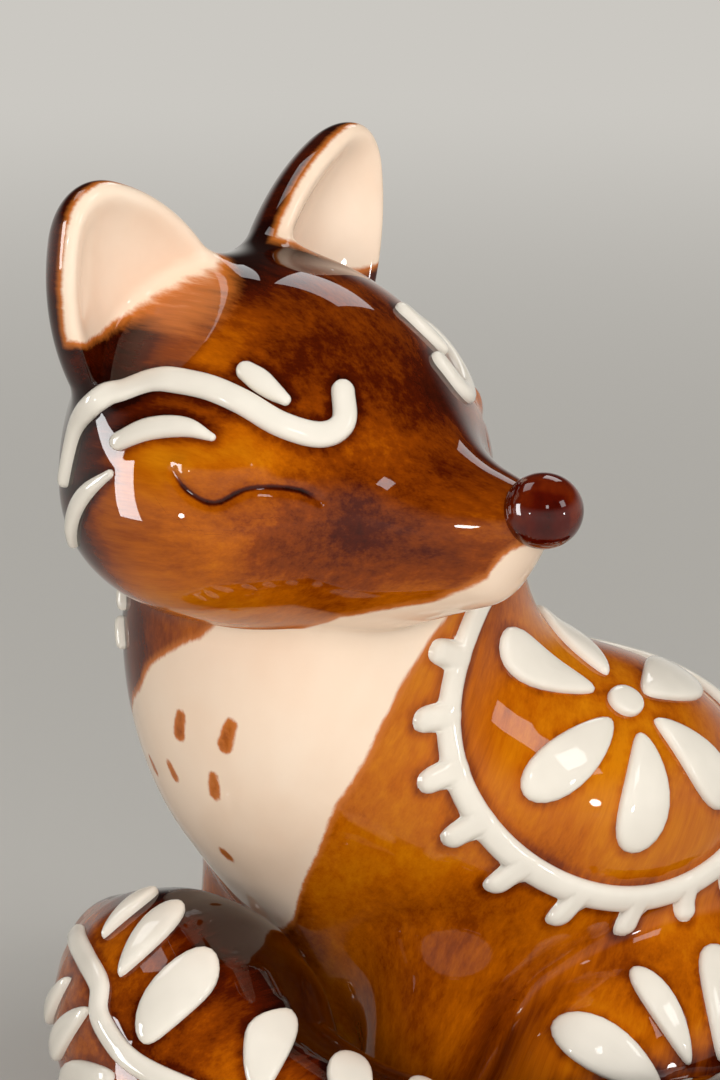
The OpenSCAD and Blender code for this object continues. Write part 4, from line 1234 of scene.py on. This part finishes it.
bpy.ops.mesh.primitive_plane_add(size=8)
table = bpy.context.object
table.name = "table"
pale = bpy.data.materials.new("pale_table")
tree, surface = shader(pale)
surface.inputs["Base Color"].default_value = TABLE
surface.inputs["Roughness"].default_value = 0.9
away = add(tree, "ShaderNodeVectorMath", {0: coordinate(tree)}, operation="LENGTH").outputs["Value"]
far = smooth(tree, away, 0.2, 0.9)
glow = add(tree, "ShaderNodeEmission", {"Color": HORIZON, "Strength": 1.0})
faded = times(far, seen(tree))
mixed = add(tree, "ShaderNodeMixShader", {0: faded, 1: surface.outputs[0], 2: glow.outputs[0]})
tree.links.new(mixed.outputs[0], tree.nodes["Material Output"].inputs[0])
table.data.materials.append(pale)

# %% World and lamps
world = bpy.data.worlds.new("studio")
bpy.context.scene.world = world
world.use_nodes = True
tree = world.node_tree
tree.nodes.clear()
overhead = smooth(tree, split(tree, coordinate(tree, "Generated"))[2], 0.05, 0.4)
wall = blend(tree, overhead, HORIZON, OVERHEAD)
plain = add(tree, "ShaderNodeBackground", {"Color": wall, "Strength": 1.0})
dim = add(tree, "ShaderNodeBackground", {"Color": ROOM_LIGHT, "Strength": 0.3})
both = add(tree, "ShaderNodeMixShader", {0: seen(tree), 1: dim.outputs[0], 2: plain.outputs[0]})
tree.links.new(both.outputs[0], tree.nodes.new("ShaderNodeOutputWorld").inputs[0])

AZIMUTH, ELEVATION, DISTANCE = math.radians(47), math.radians(12), 0.52
RIGHT = Vector((math.cos(AZIMUTH), math.sin(AZIMUTH), 0))
LEVEL = math.cos(ELEVATION)
VIEW = Vector((-math.sin(AZIMUTH) * LEVEL, math.cos(AZIMUTH) * LEVEL, -math.sin(ELEVATION)))
UP = RIGHT.cross(VIEW)
HEAD = Vector(HEAD_AT.tolist()) * 0.001


def lamp(name, right, up, towards, size, watts, shines=True, lights=True, lean=0):
    """A soft lamp placed from the head: to the right, up and towards the camera, in metres.

    shines says whether it shows in the glaze, and lights whether it lights the colours."""
    data = bpy.data.lights.new(name, "AREA")
    data.shape = "RECTANGLE" if max(size) > 0.1 else "ELLIPSE"
    data.size, data.size_y, data.energy = *size, watts
    made = bpy.data.objects.new(name, data)
    made.location = HEAD + RIGHT * right + UP * up - VIEW * towards
    made.rotation_mode = "QUATERNION"
    facing = (HEAD - made.location).to_track_quat("-Z", "Y")
    made.rotation_quaternion = facing @ Quaternion((0, 0, 1), math.radians(lean))
    made.visible_glossy, made.visible_diffuse = shines, lights
    bpy.context.scene.collection.objects.link(made)


lamp("room", 0.45, 0.5, 0.55, (0.5, 0.5), 2.5, shines=False)
lamp("front", -0.1, -0.06, 0.86, (0.4, 0.4), 3.5, shines=False)
lamp("window", 0.15, 0.18, 0.76, (0.1, 0.13), 0.3)
lamp("right_window", 0.62, 0.26, 0.4, (0.2, 0.22), 0.6)
lamp("left_strip", -0.73, -0.09, 0.2, (0.2, 0.72), 7.5, lights=False, lean=23)
lamp("right_spot", 0.64, -0.08, 0.38, (0.06, 0.06), 0.3)
lamp("front_spot", -0.45, -0.08, 0.57, (0.05, 0.05), 0.2)
lamp("left_ceiling", -0.36, 0.68, -0.08, (0.35, 0.25), 0.8)
lamp("right_ceiling", 0.2, 0.64, -0.4, (0.3, 0.25), 0.7)

# %% Camera
FRAME_WIDE, FRAME_HIGH, PX = 720, 1080, 0.0001
HEAD_PX_RIGHT, HEAD_PX_DOWN = 265, 430
FILM = 36
centre = HEAD + RIGHT * ((FRAME_WIDE / 2 - HEAD_PX_RIGHT) * PX) - UP * ((FRAME_HIGH / 2 - HEAD_PX_DOWN) * PX)
camera = bpy.data.objects.new("camera", bpy.data.cameras.new("camera"))
camera.data.sensor_width = FILM
camera.data.lens = FILM * DISTANCE / (FRAME_HIGH * PX)
turned = Matrix((RIGHT, UP, -VIEW)).transposed().to_4x4()
camera.matrix_world = Matrix.Translation(centre - VIEW * DISTANCE) @ turned
bpy.context.scene.collection.objects.link(camera)
bpy.context.scene.camera = camera
bpy.context.scene.view_settings.view_transform = "Standard"
